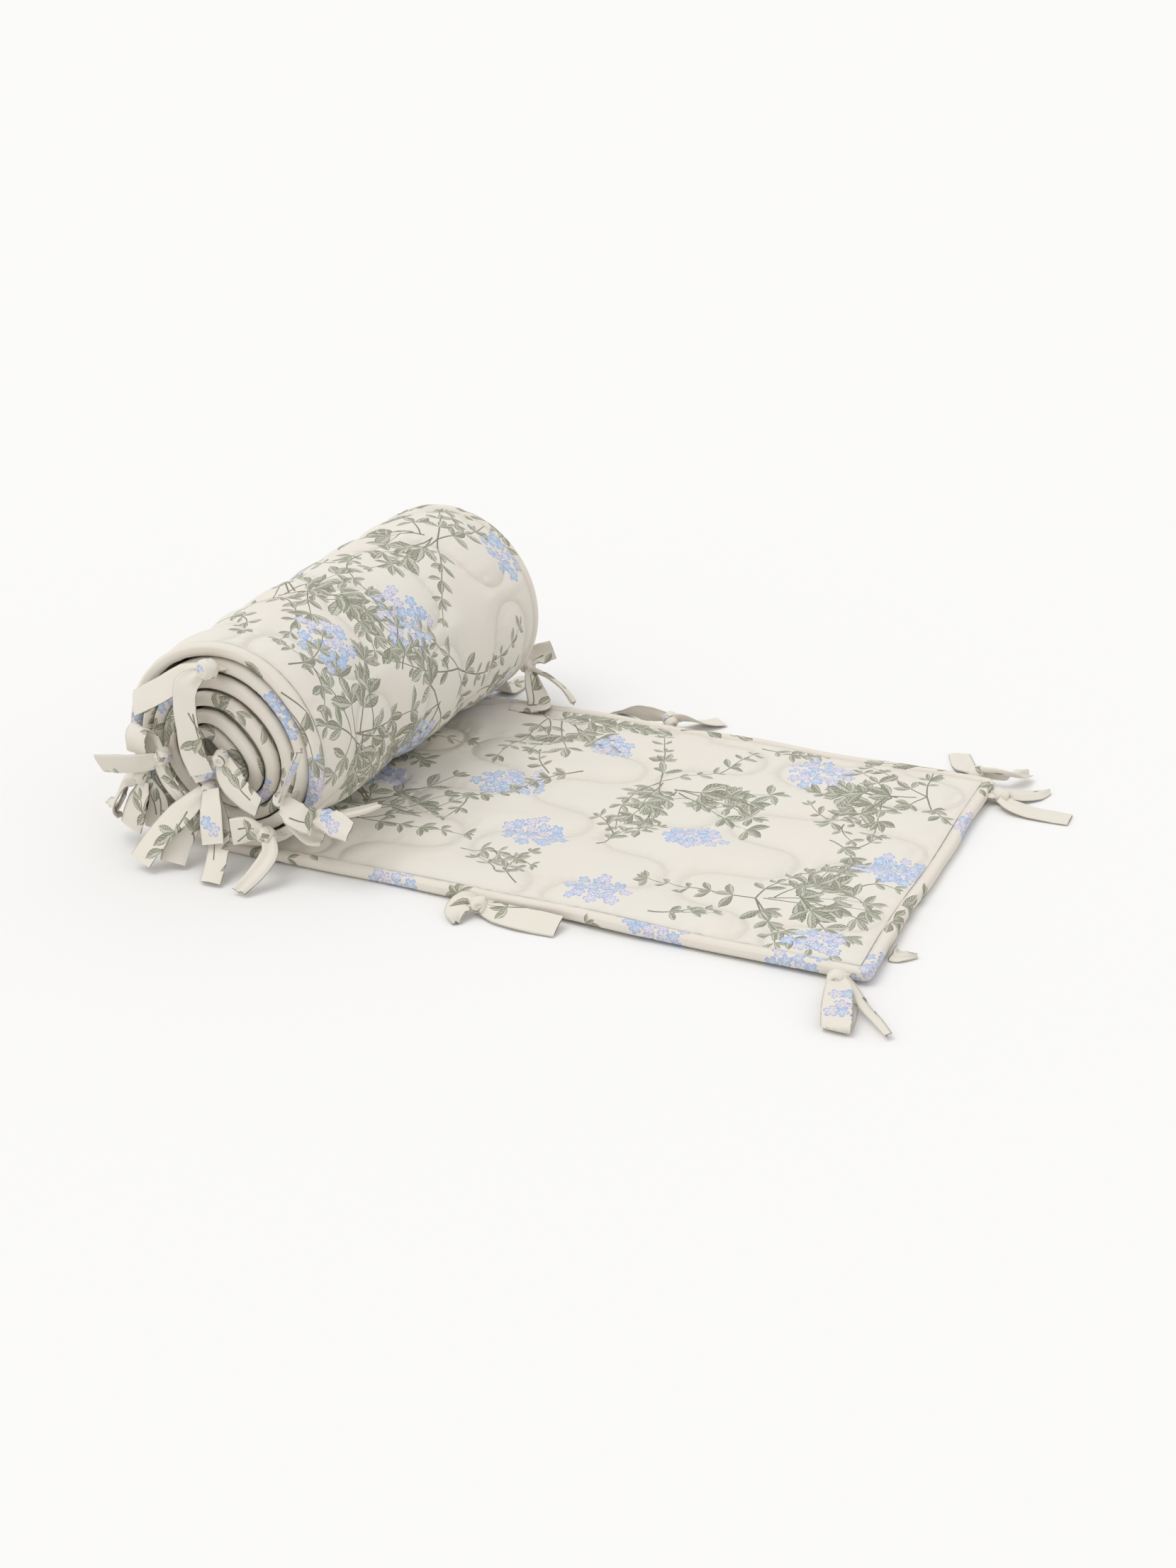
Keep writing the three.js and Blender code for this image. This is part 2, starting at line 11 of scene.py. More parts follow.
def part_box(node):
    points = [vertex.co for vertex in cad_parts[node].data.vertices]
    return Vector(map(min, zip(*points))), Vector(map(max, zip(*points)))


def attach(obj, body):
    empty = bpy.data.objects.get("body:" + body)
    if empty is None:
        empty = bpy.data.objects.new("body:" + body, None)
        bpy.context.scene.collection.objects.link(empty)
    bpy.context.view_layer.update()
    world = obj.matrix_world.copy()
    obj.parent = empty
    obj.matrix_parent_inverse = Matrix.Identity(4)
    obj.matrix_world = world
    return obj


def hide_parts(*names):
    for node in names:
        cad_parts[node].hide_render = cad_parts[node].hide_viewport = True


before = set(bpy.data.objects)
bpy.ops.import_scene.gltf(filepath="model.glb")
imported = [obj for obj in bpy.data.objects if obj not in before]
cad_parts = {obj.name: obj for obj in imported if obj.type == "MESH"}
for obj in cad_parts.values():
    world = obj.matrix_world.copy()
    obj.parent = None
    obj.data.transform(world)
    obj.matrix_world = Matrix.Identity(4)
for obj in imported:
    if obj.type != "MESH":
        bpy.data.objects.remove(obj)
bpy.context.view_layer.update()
print("frame loaded")

# Sizes are in millimetres, as on a cutting table, and a mesh is turned into metres when it is made.
# The cloth is measured by its length from the flat end and its distance across from the front edge.
millimetre = 0.001
fullTurn = 2 * math.pi

cloth = {"width": 300, "flatRun": 428, "contact": 1.5, "loft": 9, "pressed": 6.4, "seamDepth": 10}

roll = {
    "frontRadius": 75.2, "backRadius": 79.6,
    "loft": 7.9, "pitch": 10.9, "turns": 5.85,
    "stretch": 9, "slant": math.radians(46), "squareness": 0.2,
    "sag": 9.5, "drift": 7, "bulge": 4, "skew": 5.5,
    "slip": 2.6, "slipRate": 0.83,
}
lastAngle = roll["turns"] * fullTurn
meanRadius = (roll["frontRadius"] + roll["backRadius"] - roll["loft"]) / 2
fall = roll["pitch"] / fullTurn


def windLength(angle):
    return meanRadius * angle - fall * angle * angle / 2


def windAngle(length):
    inside = np.maximum(meanRadius ** 2 - 2 * fall * length, 0)
    return (meanRadius - np.sqrt(inside)) / fall


clothLength = cloth["flatRun"] + windLength(lastAngle)


def smoothStep(value, low, high):
    part = np.clip((value - low) / (high - low), 0, 1)
    return part * part * (3 - 2 * part)


# How far along a line each of its points is.
def runOf(places):
    return np.concatenate([[0], np.cumsum(np.linalg.norm(np.diff(places, axis=0), axis=1))])


def readAlong(run, at, table):
    return np.stack([np.interp(at, run, column) for column in table.T], axis=-1)


# A soft random relief from -1 to 1, whose lumps are about as wide as scale.
def unevenness(u, v, scale, seed, waves=6):
    draw = random.Random(seed)
    total = 0
    for _ in range(waves):
        turn = draw.uniform(0, fullTurn)
        stretch = draw.uniform(0.7, 1.5)
        phase = draw.uniform(0, fullTurn)
        total = total + np.sin((u * math.cos(turn) + v * math.sin(turn)) * stretch * math.pi / scale + phase)
    return total / waves * 1.6    # brings the sum of the waves back to about 1


def windPoint(angle, across):
    outside = roll["frontRadius"] + (roll["backRadius"] - roll["frontRadius"]) * across / cloth["width"]
    radius = outside - roll["loft"] / 2 - fall * angle
    slant = roll["slant"]
    along = math.cos(slant) * -np.sin(angle) + math.sin(slant) * np.cos(angle)
    squared = along * np.sqrt((1 + roll["squareness"]) / (along * along + roll["squareness"]))
    spent = angle / lastAngle
    stretch = roll["stretch"] * spent * squared
    bulge = roll["bulge"] * (radius / outside) * -np.sin(angle) * (1 + np.cos(angle)) / 2
    skew = roll["skew"] * (across / cloth["width"]) * smoothStep(angle, 0, 0.6)
    middleX = cloth["contact"] + skew - roll["drift"] * spent
    middleZ = outside - roll["sag"] * spent
    x = middleX - radius * np.sin(angle) + bulge + stretch * math.cos(slant)
    z = middleZ - radius * np.cos(angle) - stretch * math.sin(slant)
    return x, z


def fullLoft(length):
    wound = smoothStep(length, cloth["flatRun"] - roll["frontRadius"], cloth["flatRun"])
    return cloth["loft"] + (roll["loft"] - cloth["loft"]) * wound


# How the cloth strays from its clean form: where it may lift, how far, and how much its edges wave.
waver = {
    "free": (30, 130), "endReach": 70,
    "side": 1.7, "end": 1.8, "lift": 2.4, "mostLift": 4, "cornerLift": 1.6, "roll": 0.6,
}


# Height is over the middle of the cloth: up on the flat end and inward in the roll.
def layCloth(length, across, height):
    length, across, height = np.broadcast_arrays(length, across, height)
    free = smoothStep(cloth["flatRun"] - length, *waver["free"])
    side = (across / cloth["width"] - 0.5) * 2
    nearEnd = smoothStep(length, waver["endReach"], 0)
    uneven = 0.5 + 0.5 * unevenness(length, across, 62, 61)
    lift = waver["lift"] * uneven * (0.35 + 0.65 * side * side) + waver["cornerLift"] * nearEnd * side * side
    drawnIn = waver["end"] * nearEnd * (0.6 + unevenness(across, 0, 75, 63))
    flatX = cloth["contact"] + cloth["flatRun"] - length - drawnIn
    flatZ = fullLoft(length) / 2 + height + free * np.clip(lift, 0, waver["mostLift"])
    height = height + waver["roll"] * unevenness(length, across, 48, 67) * (1 - free)
    wavered = across + free * waver["side"] * side * (unevenness(length, 0, 66, 65) - 0.5)
    angle = windAngle(np.maximum(length - cloth["flatRun"], 0))
    nudge = 0.01
    x, z = windPoint(angle, across)
    aheadX, aheadZ = windPoint(angle + nudge, across)
    behindX, behindZ = windPoint(angle - nudge, across)
    tangentX, tangentZ = aheadX - behindX, aheadZ - behindZ
    size = np.hypot(tangentX, tangentZ)
    slide = roll["slip"] * np.sin(angle * roll["slipRate"]) * np.minimum(angle / fullTurn, 1)
    wound = length > cloth["flatRun"]
    return np.stack([
        np.where(wound, x + tangentZ / size * height, flatX),
        np.where(wound, across + slide, wavered),
        np.where(wound, z - tangentX / size * height, flatZ),
    ], axis=-1)


# Where that cloth lies in the frame: the binding's box gives the flat end and both long edges.
bindingLow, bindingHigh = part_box("binding")
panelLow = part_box("quilted_panel")[0]
layOrigin = np.array([
    bindingHigh.x / millimetre - cloth["contact"] - cloth["flatRun"],
    (bindingLow.y + bindingHigh.y) / 2 / millimetre - cloth["width"] / 2,
    panelLow.z / millimetre,
])


# The print: leaf sprays and round flower heads, drawn in the flat cloth's millimetres.
inks = {"cloth": 0, "leaf": 1, "stem": 2, "flower": 3}

printing = {
    "finest": 0.02,                # points nearer than this are merged
    "rimGap": 0.4,                 # kept clear along a patch's rim
    "clearCell": 1.7,              # kept clear of the plain grid round the extra points
    "leafPoints": 6,
    "leafSlimness": (0.33, 0.45),
    "leafLengths": (0.70, 1.12),   # by the branch's own leaf length
    "leafBend": 0.09,
    "leafLean": 0.25,
    "leafShrink": 0.38,            # from a branch's foot to its tip
    "tipLeaf": 0.55,
    "fan": 3.1,                    # how wide the leaves of a joint spread, in radians
    "jointGap": 1.05,
    "stemSteps": 3,
    "stemWander": 0.16,
    "stemWidth": 1.2,
    "stemTaper": 0.55,
    "bushLeaf": 21,
    "sprigLeaf": 12.5,
    "floretGap": 4.7,
    "floretRadius": (4.0, 5.2),
    "floretPoints": 20,
    "floretTurn": 2.399963,        # the golden angle, which packs a head evenly
    "petals": 5,
    "petalWaist": 0.60,
    "petalRound": 0.6,
}

# A bush's thin twigs, which lie under its leaves, and its leafy branches on top of them.
bushTwigs = {
    "sides": (-1, 1, -1, 1), "lean": (0.5, 2.6), "reach": (0.85, 1.15),
    "leaf": 0.66, "curl": (-0.12, 0.2), "fullness": (2, 3, 3, 4),
}
bushBranches = {
    "sides": (-1, 1, -1, 1, 0, -1, 1), "lean": (0.3, 1.7), "sway": 0.2, "foot": (0, 0.5),
    "reach": (0.45, 0.90), "middleReach": 1.2, "leaf": (0.8, 1.05), "curl": -0.08,
}


def turned(points, x, y, heading):
    cosine, sine = math.cos(heading), math.sin(heading)
    return [(x + a * cosine - b * sine, y + a * sine + b * cosine) for a, b in points]


# Widest a little past the middle of the leaf.
def leafHalfWidth(part):
    return np.sin(math.pi * np.clip(part, 0, 1) ** 1.2) ** 0.85


def leafMotif(x, y, heading, length, width, bend, tone):
    count = printing["leafPoints"]
    parts = [i / count for i in range(count + 1)]
    middle = lambda part: 4 * bend * length * part * (1 - part)
    side = lambda part: float(leafHalfWidth(part)) * width / 2
    upper = [(part * length, middle(part) + side(part)) for part in parts]
    lower = [(part * length, middle(part) - side(part)) for part in parts[1:-1]]
    return {
        "ink": "leaf", "tone": tone, "bend": bend,
        "place": (x, y, heading, length, width / 2),
        "outline": turned(lower + upper[::-1], x, y, heading),
        "inner": [],
    }


def stemMotif(path, width):
    left, right = [], []
    for i, (x, y) in enumerate(path):
        aheadX, aheadY = path[min(i + 1, len(path) - 1)]
        behindX, behindY = path[max(i - 1, 0)]
        run = math.hypot(aheadX - behindX, aheadY - behindY) or 1
        half = width / 2 * (1 - printing["stemTaper"] * i / len(path))
        normalX, normalY = -(aheadY - behindY) / run * half, (aheadX - behindX) / run * half
        left.append((x + normalX, y + normalY))
        right.append((x - normalX, y - normalY))
    return {
        "ink": "stem", "tone": 0.5, "bend": 0, "place": (*path[0], 0, 1, 1),
        "outline": right + left[::-1], "inner": [],
    }


def eitherWay(draw, most):
    return draw.uniform(-most, most)


# A curved stem with a fan of leaves at each of its joints and a last leaf at its tip.
def branch(draw, x, y, heading, length, leafLength, curl, fullness=(2, 3, 4, 4)):
    path, leaves = [(x, y)], []
    joints = max(2, round(length / (leafLength * printing["jointGap"])))
    steps = printing["stemSteps"]
    slim = lambda: draw.uniform(*printing["leafSlimness"])
    for joint in range(joints):
        for _ in range(steps):
            heading += (curl + eitherWay(draw, printing["stemWander"])) / steps
            x += math.cos(heading) * length / joints / steps
            y += math.sin(heading) * length / joints / steps
            path.append((x, y))
        count = draw.choice(fullness)
        size = leafLength * (1 - printing["leafShrink"] * joint / joints)
        for k in range(count):
            spread = (k - (count - 1) / 2) * printing["fan"] / count
            lean = heading + spread + eitherWay(draw, printing["leafLean"])
            long = size * draw.uniform(*printing["leafLengths"])
            wide = long * slim()
            bend = eitherWay(draw, printing["leafBend"])
            leaves.append(leafMotif(x, y, lean, long, wide, bend, draw.random()))
    tip = leafLength * printing["tipLeaf"]
    leaves.append(leafMotif(x, y, heading, tip, tip * slim(), 0, draw.random()))
    return [stemMotif(path, printing["stemWidth"])] + leaves


# A wide spray: branches fan out from a short arched stem, and thin twigs trail past them.
def bush(draw, x, y, heading, reach):
    motifs = []
    twigs, branches = bushTwigs, bushBranches
    for side in twigs["sides"]:
        lean = heading + side * draw.uniform(*twigs["lean"])
        length = reach * draw.uniform(*twigs["reach"])
        curl = side * draw.uniform(*twigs["curl"])
        leaf = printing["bushLeaf"] * twigs["leaf"]
        motifs += branch(draw, x, y, lean, length, leaf, curl, twigs["fullness"])
    for side in branches["sides"]:
        lean = heading + side * draw.uniform(*branches["lean"]) + eitherWay(draw, branches["sway"])
        foot = draw.uniform(*branches["foot"]) * reach
        footX, footY = x + math.cos(heading) * foot, y + math.sin(heading) * foot
        length = reach * draw.uniform(*branches["reach"]) * (branches["middleReach"] if side == 0 else 1)
        leaf = printing["bushLeaf"] * draw.uniform(*branches["leaf"])
        motifs += branch(draw, footX, footY, lean, length, leaf, side * branches["curl"])
    return motifs


# A long thin stem with small leaves and one side twig.
def sprig(draw, x, y, heading, reach):
    curl = draw.choice((-1, 1)) * draw.uniform(0.15, 0.5)
    size = printing["sprigLeaf"]
    motifs = branch(draw, x, y, heading, reach, size, curl, (2, 3, 3, 4))
    footX, footY = x + math.cos(heading) * reach * 0.4, y + math.sin(heading) * reach * 0.4
    twig = heading + draw.choice((-1, 1)) * draw.uniform(0.7, 1.2)
    return branch(draw, footX, footY, twig, reach * 0.55, size * 0.9, -curl, (2, 3, 3)) + motifs


def floretOutline(size):
    points = []
    for k in range(printing["floretPoints"]):
        angle = fullTurn * k / printing["floretPoints"]
        lobe = abs(math.cos(printing["petals"] / 2 * angle)) ** printing["petalRound"]
        petal = size * (printing["petalWaist"] + (1 - printing["petalWaist"]) * lobe)
        points.append((petal * math.cos(angle), petal * math.sin(angle)))
    return points


# A round head of small flowers, each with a point at its middle.
def flowerHead(draw, x, y, radius, squash=1.0):
    motifs = []
    count = round((radius / printing["floretGap"]) ** 2)
    for i in range(count):
        away = radius * math.sqrt((i + 0.5) / count) * draw.uniform(0.9, 1.05)
        turn = i * printing["floretTurn"] + eitherWay(draw, 0.2)
        size = draw.uniform(*printing["floretRadius"])
        facing = draw.uniform(0, fullTurn)
        placeX, placeY = x + away * math.cos(turn), y + away * math.sin(turn) * squash
        motifs.append({
            "ink": "flower", "tone": draw.random(), "bend": 0,
            "place": (placeX, placeY, facing, size, size),
            "outline": turned(floretOutline(size), placeX, placeY, facing), "inner": [(placeX, placeY)],
        })
    return motifs


# Each row says what is printed, how far along the cloth and across it, its heading and its reach.
def drawRepeat(rows, seed):
    draw = random.Random(seed)
    motifs = []
    for what, x, y, heading, reach in rows:
        if what == "bush":
            motifs += bush(draw, x, y, math.radians(heading), reach)
        elif what == "sprig":
            motifs += sprig(draw, x, y, math.radians(heading), reach)
        else:
            motifs += flowerHead(draw, x, y, reach, draw.uniform(0.8, 1))
    return motifs


# The cloth's meshes are printed patches, bridged into one closed shell. A point's place in its motif
# runs from 0 to 1 along a leaf and from -1 to 1 across it, and the ink materials read it from a map.
def motifLocal(motif, points):
    x, y, heading, length, half = motif["place"]
    away = points - np.array([x, y])
    along = (away[:, 0] * math.cos(heading) + away[:, 1] * math.sin(heading)) / length
    beside = -away[:, 0] * math.sin(heading) + away[:, 1] * math.cos(heading)
    if motif["ink"] == "leaf":
        middle = 4 * motif["bend"] * length * along * (1 - along)
        wide = np.maximum(leafHalfWidth(along), 0.15) * half
        return np.stack([along, np.clip((beside - middle) / wide, -1, 1)], axis=-1)
    return np.stack([along, beside / half], axis=-1)


def insideOutline(points, outline):
    x, y = points[:, 0], points[:, 1]
    inside = np.zeros(len(points), bool)
    before = outline[-1]
    for here in outline:
        (ax, ay), (bx, by) = before, here
        crossing = (ay > y) != (by > y)
        with np.errstate(divide="ignore", invalid="ignore"):
            reach = ax + (y - ay) * (bx - ax) / (by - ay)
        inside ^= crossing & (x < reach)
        before = here
    return inside


def within(points, low, high):
    return ((points > np.array(low)) & (points < np.array(high))).all(axis=1)


# The indexes of the points that lie inside an outline.
def pickInside(points, outline):
    corners = np.array(outline)
    picked = np.flatnonzero(within(points, corners.min(0), corners.max(0)))
    return picked[insideOutline(points[picked], outline)]


# The points inside a patch's rim, every other row set off by half a step.
def plainGrid(us, vs):
    gridU, gridV = np.meshgrid(us, vs[1:-1], indexing="ij")
    offset = (np.arange(len(vs) - 2) % 2 - 0.5) * 0.5 * (us[1] - us[0])
    return np.stack([(gridU + offset)[1:-1].reshape(-1), gridV[1:-1].reshape(-1)], axis=-1)


# The points that have none of the others beside them.
def clearOf(points, others):
    cell = printing["clearCell"]
    taken = {(int(a // cell), int(b // cell)) for a, b in others}
    around = [(i, j) for i in (-1, 0, 1) for j in (-1, 0, 1)]
    near = np.array([
        any((int(a // cell) + i, int(b // cell) + j) in taken for i, j in around) for a, b in points
    ], bool)
    return points[~near]


# The triangles inside the patch, all turned the same way, with no sliver along its rim.
def soundTriangles(flat, triangles, low, high):
    middle = flat[triangles].mean(axis=1)
    a, b, c = flat[triangles[:, 0]], flat[triangles[:, 1]], flat[triangles[:, 2]]
    area = (b[:, 0] - a[:, 0]) * (c[:, 1] - a[:, 1]) - (b[:, 1] - a[:, 1]) * (c[:, 0] - a[:, 0])
    triangles[area < 0] = triangles[area < 0][:, ::-1]
    onRim = [
        (np.abs(flat[triangles][:, :, axis] - level[axis]) < printing["finest"] / 20).all(axis=1)
        for axis in (0, 1) for level in (low, high)
    ]
    keep = within(middle, low, high) & ~np.any(onRim, axis=0)
    return triangles[keep], middle[keep]


# Cuts a flat piece of cloth into triangles that follow the print's outlines.
def printedPatch(low, high, spacing, motifs, extra=()):
    (lowU, lowV), (highU, highV) = low, high
    columns = max(2, round((highU - lowU) / spacing[0]))
    rows = max(2, round((highV - lowV) / spacing[1]))
    us, vs = np.linspace(lowU, highU, columns + 1), np.linspace(lowV, highV, rows + 1)
    free = plainGrid(us, vs)
    if len(extra):
        gap = printing["rimGap"]
        extra = extra[within(extra, np.array(low) + gap, np.array(high) - gap)]
        free = clearOf(free, extra)
    motifs = [m for m in motifs if any(lowU < a < highU and lowV < b < highV for a, b in m["outline"])]
    for motif in motifs:
        free = np.delete(free, pickInside(free, motif["outline"]), axis=0)
    rim = [(u, lowV) for u in us[:-1]] + [(highU, v) for v in vs[:-1]]
    rim += [(u, highV) for u in us[:0:-1]] + [(lowU, v) for v in vs[:0:-1]]
    points = list(rim)
    edges = [(i, (i + 1) % len(rim)) for i in range(len(rim))]
    for motif in motifs:
        start, count = len(points), len(motif["outline"])
        edges += [(start + i, start + (i + 1) % count) for i in range(count)]
        points += motif["outline"] + motif["inner"]
    points = [Vector(p) for p in (*points, *free, *extra)]
    outPoints, _, outFaces, *_ = delaunay_2d_cdt(points, edges, [], 0, printing["finest"])
    flat = np.array([tuple(p) for p in outPoints])
    triangles, middle = soundTriangles(flat, np.array(outFaces), low, high)
    owner = np.full(len(triangles), -1)
    for index, motif in enumerate(motifs):
        owner[pickInside(middle, motif["outline"])] = index
    local = np.zeros((len(triangles), 3, 2))
    ink = np.zeros(len(triangles))
    tone = np.zeros(len(triangles))
    for index in np.unique(owner[owner >= 0]):
        motif = motifs[index]
        mine = owner == index
        local[mine] = motifLocal(motif, flat[triangles[mine]].reshape(-1, 2)).reshape(-1, 3, 2)
        ink[mine] = inks[motif["ink"]]
        tone[mine] = motif["tone"]
    used, renumbered = np.unique(triangles, return_inverse=True)
    return {
        "flat": flat[used], "triangles": renumbered.reshape(-1, 3),
        "local": local, "ink": ink, "tone": tone,
        "low": low, "high": high,
    }


# The patch's points along one of its four sides, in order.
def patchEdge(patch, axis, high):
    flat, triangles = patch["flat"], patch["triangles"]
    corners = ([0, 1], [1, 2], [2, 0])
    sides = np.sort(np.concatenate([triangles[:, pair] for pair in corners]), axis=1)
    sides, uses = np.unique(sides, axis=0, return_counts=True)
    rim = np.unique(sides[uses == 1])
    level = patch["high" if high else "low"][axis]
    found = rim[np.abs(flat[rim, axis] - level) < printing["finest"]]
    return found[np.argsort(flat[found, 1 - axis])]


normalStep = 0.35    # how far apart a surface is read to find the way it faces


class ClothShell:
    def __init__(self):
        self.points, self.normals, self.crease = [], [], []
        self.flats, self.bakePoints = [], []
        self.triangles, self.clothUv, self.bakeUv = [], [], []
        self.local, self.ink, self.tone = [], [], []
        self.same = {}
        self.count = 0

    # The surface turns flat points into points of the lay, and bake places corners on the bake's map.
    def add(self, patch, surface, bake, flip=False, crease=None):
        flat = patch["flat"]
        points = surface(flat)
        along = surface(flat + [normalStep, 0]) - surface(flat - [normalStep, 0])
        beside = surface(flat + [0, normalStep]) - surface(flat - [0, normalStep])
        normals = np.cross(along, beside)
        normals /= np.maximum(np.linalg.norm(normals, axis=1, keepdims=True), 1e-9)
        start = self.count
        self.points.append(points)
        self.normals.append(-normals if flip else normals)
        # A patch may bring a painted shade for each of its points, which darkens its grooves.
        self.crease.append(np.zeros(len(flat)) if crease is None else crease(flat))
        self.flats.append(flat)
        self.bakePoints.append(bake(flat[:, None, :])[:, 0])
        triangles = patch["triangles"][:, ::-1] if flip else patch["triangles"]
        self.triangles.append(triangles + start)
        self.clothUv.append(flat[triangles] * millimetre)
        self.bakeUv.append(bake(flat[triangles]))
        self.local.append(patch["local"][:, ::-1] if flip else patch["local"])
        self.ink.append(patch["ink"])
        self.tone.append(patch["tone"])
        self.count += len(flat)
        return start

    # Joins two rows of points by plain triangles, stepping along whichever lags behind.
    def bridge(self, first, second, axis, flip=False):
        firstAt, secondAt = (np.concatenate(self.flats)[row, axis] for row in (first, second))
        i = j = 0
        made = []
        while i < len(first) - 1 or j < len(second) - 1:
            stepFirst = j == len(second) - 1 or (i < len(first) - 1 and firstAt[i + 1] <= secondAt[j + 1])
            ahead = first[i + 1] if stepFirst else second[j + 1]
            corners = [first[i], second[j], ahead]
            if len(set(corners)) == 3:
                made.append(corners[::-1] if flip else corners)
            if stepFirst:
                i += 1
            else:
                j += 1
        self.plain(made)

    def plain(self, triangles):
        triangles = np.array(triangles, int).reshape(-1, 3)
        count = len(triangles)
        self.triangles.append(triangles)
        self.clothUv.append(np.concatenate(self.flats)[triangles] * millimetre)
        self.bakeUv.append(np.repeat(np.concatenate(self.bakePoints)[triangles[:, :1]], 3, axis=1))
        self.local.append(np.zeros((count, 3, 2)))
        self.ink.append(np.zeros(count))
        self.tone.append(np.zeros(count))

    # Sews two rows of points that lie on each other.
    def weld(self, kept, dropped):
        self.same.update({int(b): int(a) for a, b in zip(kept, dropped) if a != b})

    def finish(self, name, material):
        renumber = np.arange(self.count)
        for _ in range(3):    # a corner may be sewn to one that is itself sewn to another
            for dropped, kept in self.same.items():
                renumber[dropped] = renumber[kept]
        triangles = renumber[np.concatenate(self.triangles)]
        a, b, c = triangles.T
        sound = (a != b) & (b != c) & (a != c)
        used, triangles = np.unique(triangles[sound], return_inverse=True)
        triangles = triangles.reshape(-1, 3)
        lay = np.concatenate(self.points)[used]
        a, b, c = (lay[triangles[:, i]] for i in range(3))
        volume = np.einsum("ij,ij->i", a, np.cross(b, c)).sum() / 6
        points = (lay + layOrigin) * millimetre
        mesh = bpy.data.meshes.new(name)
        mesh.from_pydata(points.tolist(), [], triangles.tolist())
        for title, corners in (("clothMap", self.clothUv), ("motifMap", self.local), ("OFBake", self.bakeUv)):
            uvMap = mesh.uv_layers.new(name=title)
            uvMap.data.foreach_set("uv", np.concatenate(corners)[sound].reshape(-1))
        for title, values in (("ink", self.ink), ("tone", self.tone)):
            attribute = mesh.attributes.new(title, "FLOAT", "FACE")
            attribute.data.foreach_set("value", np.concatenate(values)[sound])
        # Each point's painted shade, darkest in the stitched grooves and at the seam, for the material to mix
        # in.
        crease = mesh.attributes.new("crease", "FLOAT", "POINT")
        crease.data.foreach_set("value", np.concatenate(self.crease)[used])
        mesh.shade_smooth()
        mesh.normals_split_custom_set_from_vertices(np.concatenate(self.normals)[used].tolist())
        mesh.materials.append(material)
        mesh.update()
        piece = bpy.data.objects.new(name, mesh)
        bpy.context.scene.collection.objects.link(piece)
        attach(piece, "root")
        area = np.linalg.norm(np.cross(b - a, c - a), axis=1).sum() / 2
        print(name, len(triangles), "triangles", round(volume / 1000, 1), "cm3", round(area / 100, 1), "cm2")
        return piece


# The cloth's finishes: node groups for the weave and the inks, and one cotton for each kind of piece.
def newGroup(name, inputs, outputs):
    tree = bpy.data.node_groups.new(name, "ShaderNodeTree")
    for title, kind, value in inputs:
        socket = tree.interface.new_socket(title, in_out="INPUT", socket_type=kind)
        if value is not None:
            socket.default_value = value
    for title, kind in outputs:
        tree.interface.new_socket(title, in_out="OUTPUT", socket_type=kind)
    return tree, tree.nodes.new("NodeGroupInput"), tree.nodes.new("NodeGroupOutput")


def plug(tree, socket, value):
    if isinstance(value, bpy.types.NodeSocket):
        tree.links.new(value, socket)
    elif value is not None:
        socket.default_value = value


def maths(tree, operation, first, second=None, third=None, clamp=False):
    node = tree.nodes.new("ShaderNodeMath")
    node.operation = operation
    node.use_clamp = clamp
    for socket, value in zip(node.inputs, (first, second, third)):
        plug(tree, socket, value)
    return node.outputs[0]


def times(tree, first, second):
    return maths(tree, "MULTIPLY", first, second)


def plus(tree, first, second):
    return maths(tree, "ADD", first, second)


def minus(tree, first, second):
    return maths(tree, "SUBTRACT", first, second)


def mixColour(tree, factor, first, second, blend="MIX"):
    node = tree.nodes.new("ShaderNodeMix")
    node.data_type = "RGBA"
    node.blend_type = blend
    firstColour, secondColour, mixed = node.inputs[6], node.inputs[7], node.outputs[2]
    plug(tree, node.inputs["Factor"], factor)
    plug(tree, firstColour, first)
    plug(tree, secondColour, second)
    return mixed


def ramp(tree, value, low, high):
    node = tree.nodes.new("ShaderNodeMapRange")
    node.interpolation_type = "SMOOTHSTEP"
    for socket, setting in zip(node.inputs, (value, low, high, 0.0, 1.0)):
        plug(tree, socket, setting)
    return node.outputs[0]


def noise(tree, vector, scale, detail=2.0, roughness=0.5):
    node = tree.nodes.new("ShaderNodeTexNoise")
    plug(tree, node.inputs["Vector"], vector)
    node.inputs["Scale"].default_value = scale
    node.inputs["Detail"].default_value = detail
    node.inputs["Roughness"].default_value = roughness
    return node.outputs["Fac"]


weaveDrawing = {"crossing": 0.5, "slubScale": 420.0, "slubDetail": 3.0, "slubRoughness": 0.6}


# A plain weave's threads, with the slubs that make them uneven.
def makeWeaveGroup():
    tree, source, sink = newGroup(
        "plainWeave",
        [("Cloth", "NodeSocketVector", None), ("Thread", "NodeSocketFloat", 0.0006)],
        [("Height", "NodeSocketFloat")],
    )
    drawing = weaveDrawing
    split = tree.nodes.new("ShaderNodeSeparateXYZ")
    tree.links.new(source.outputs["Cloth"], split.inputs[0])
    waves = []
    for axis in (0, 1):
        turns = maths(tree, "DIVIDE", split.outputs[axis], source.outputs["Thread"])
        waves.append(maths(tree, "SINE", times(tree, turns, fullTurn)))
    crossed = times(tree, waves[0], waves[1])
    slub = noise(
        tree, source.outputs["Cloth"], drawing["slubScale"], drawing["slubDetail"], drawing["slubRoughness"],
    )
    height = plus(tree, times(tree, crossed, drawing["crossing"]), slub)
    tree.links.new(height, sink.inputs["Height"])
    return tree


leafDrawing = {
    "wobbleScale": 260.0, "wobble": 0.5,
    "veins": 42.0, "veinSlant": 0.20, "veinWobble": 3.0, "strokeEdge": (-0.1, 0.7),
    "halfEdge": 0.25, "halfShade": 0.55, "strokeShade": 0.30, "toneShade": 0.75, "fullShade": 0.85,
    "rimEdge": (0.66, 0.98), "rim": 0.85, "ribEdge": (0.13, 0.04), "rib": 0.8, "darkStrokes": 0.62,
}


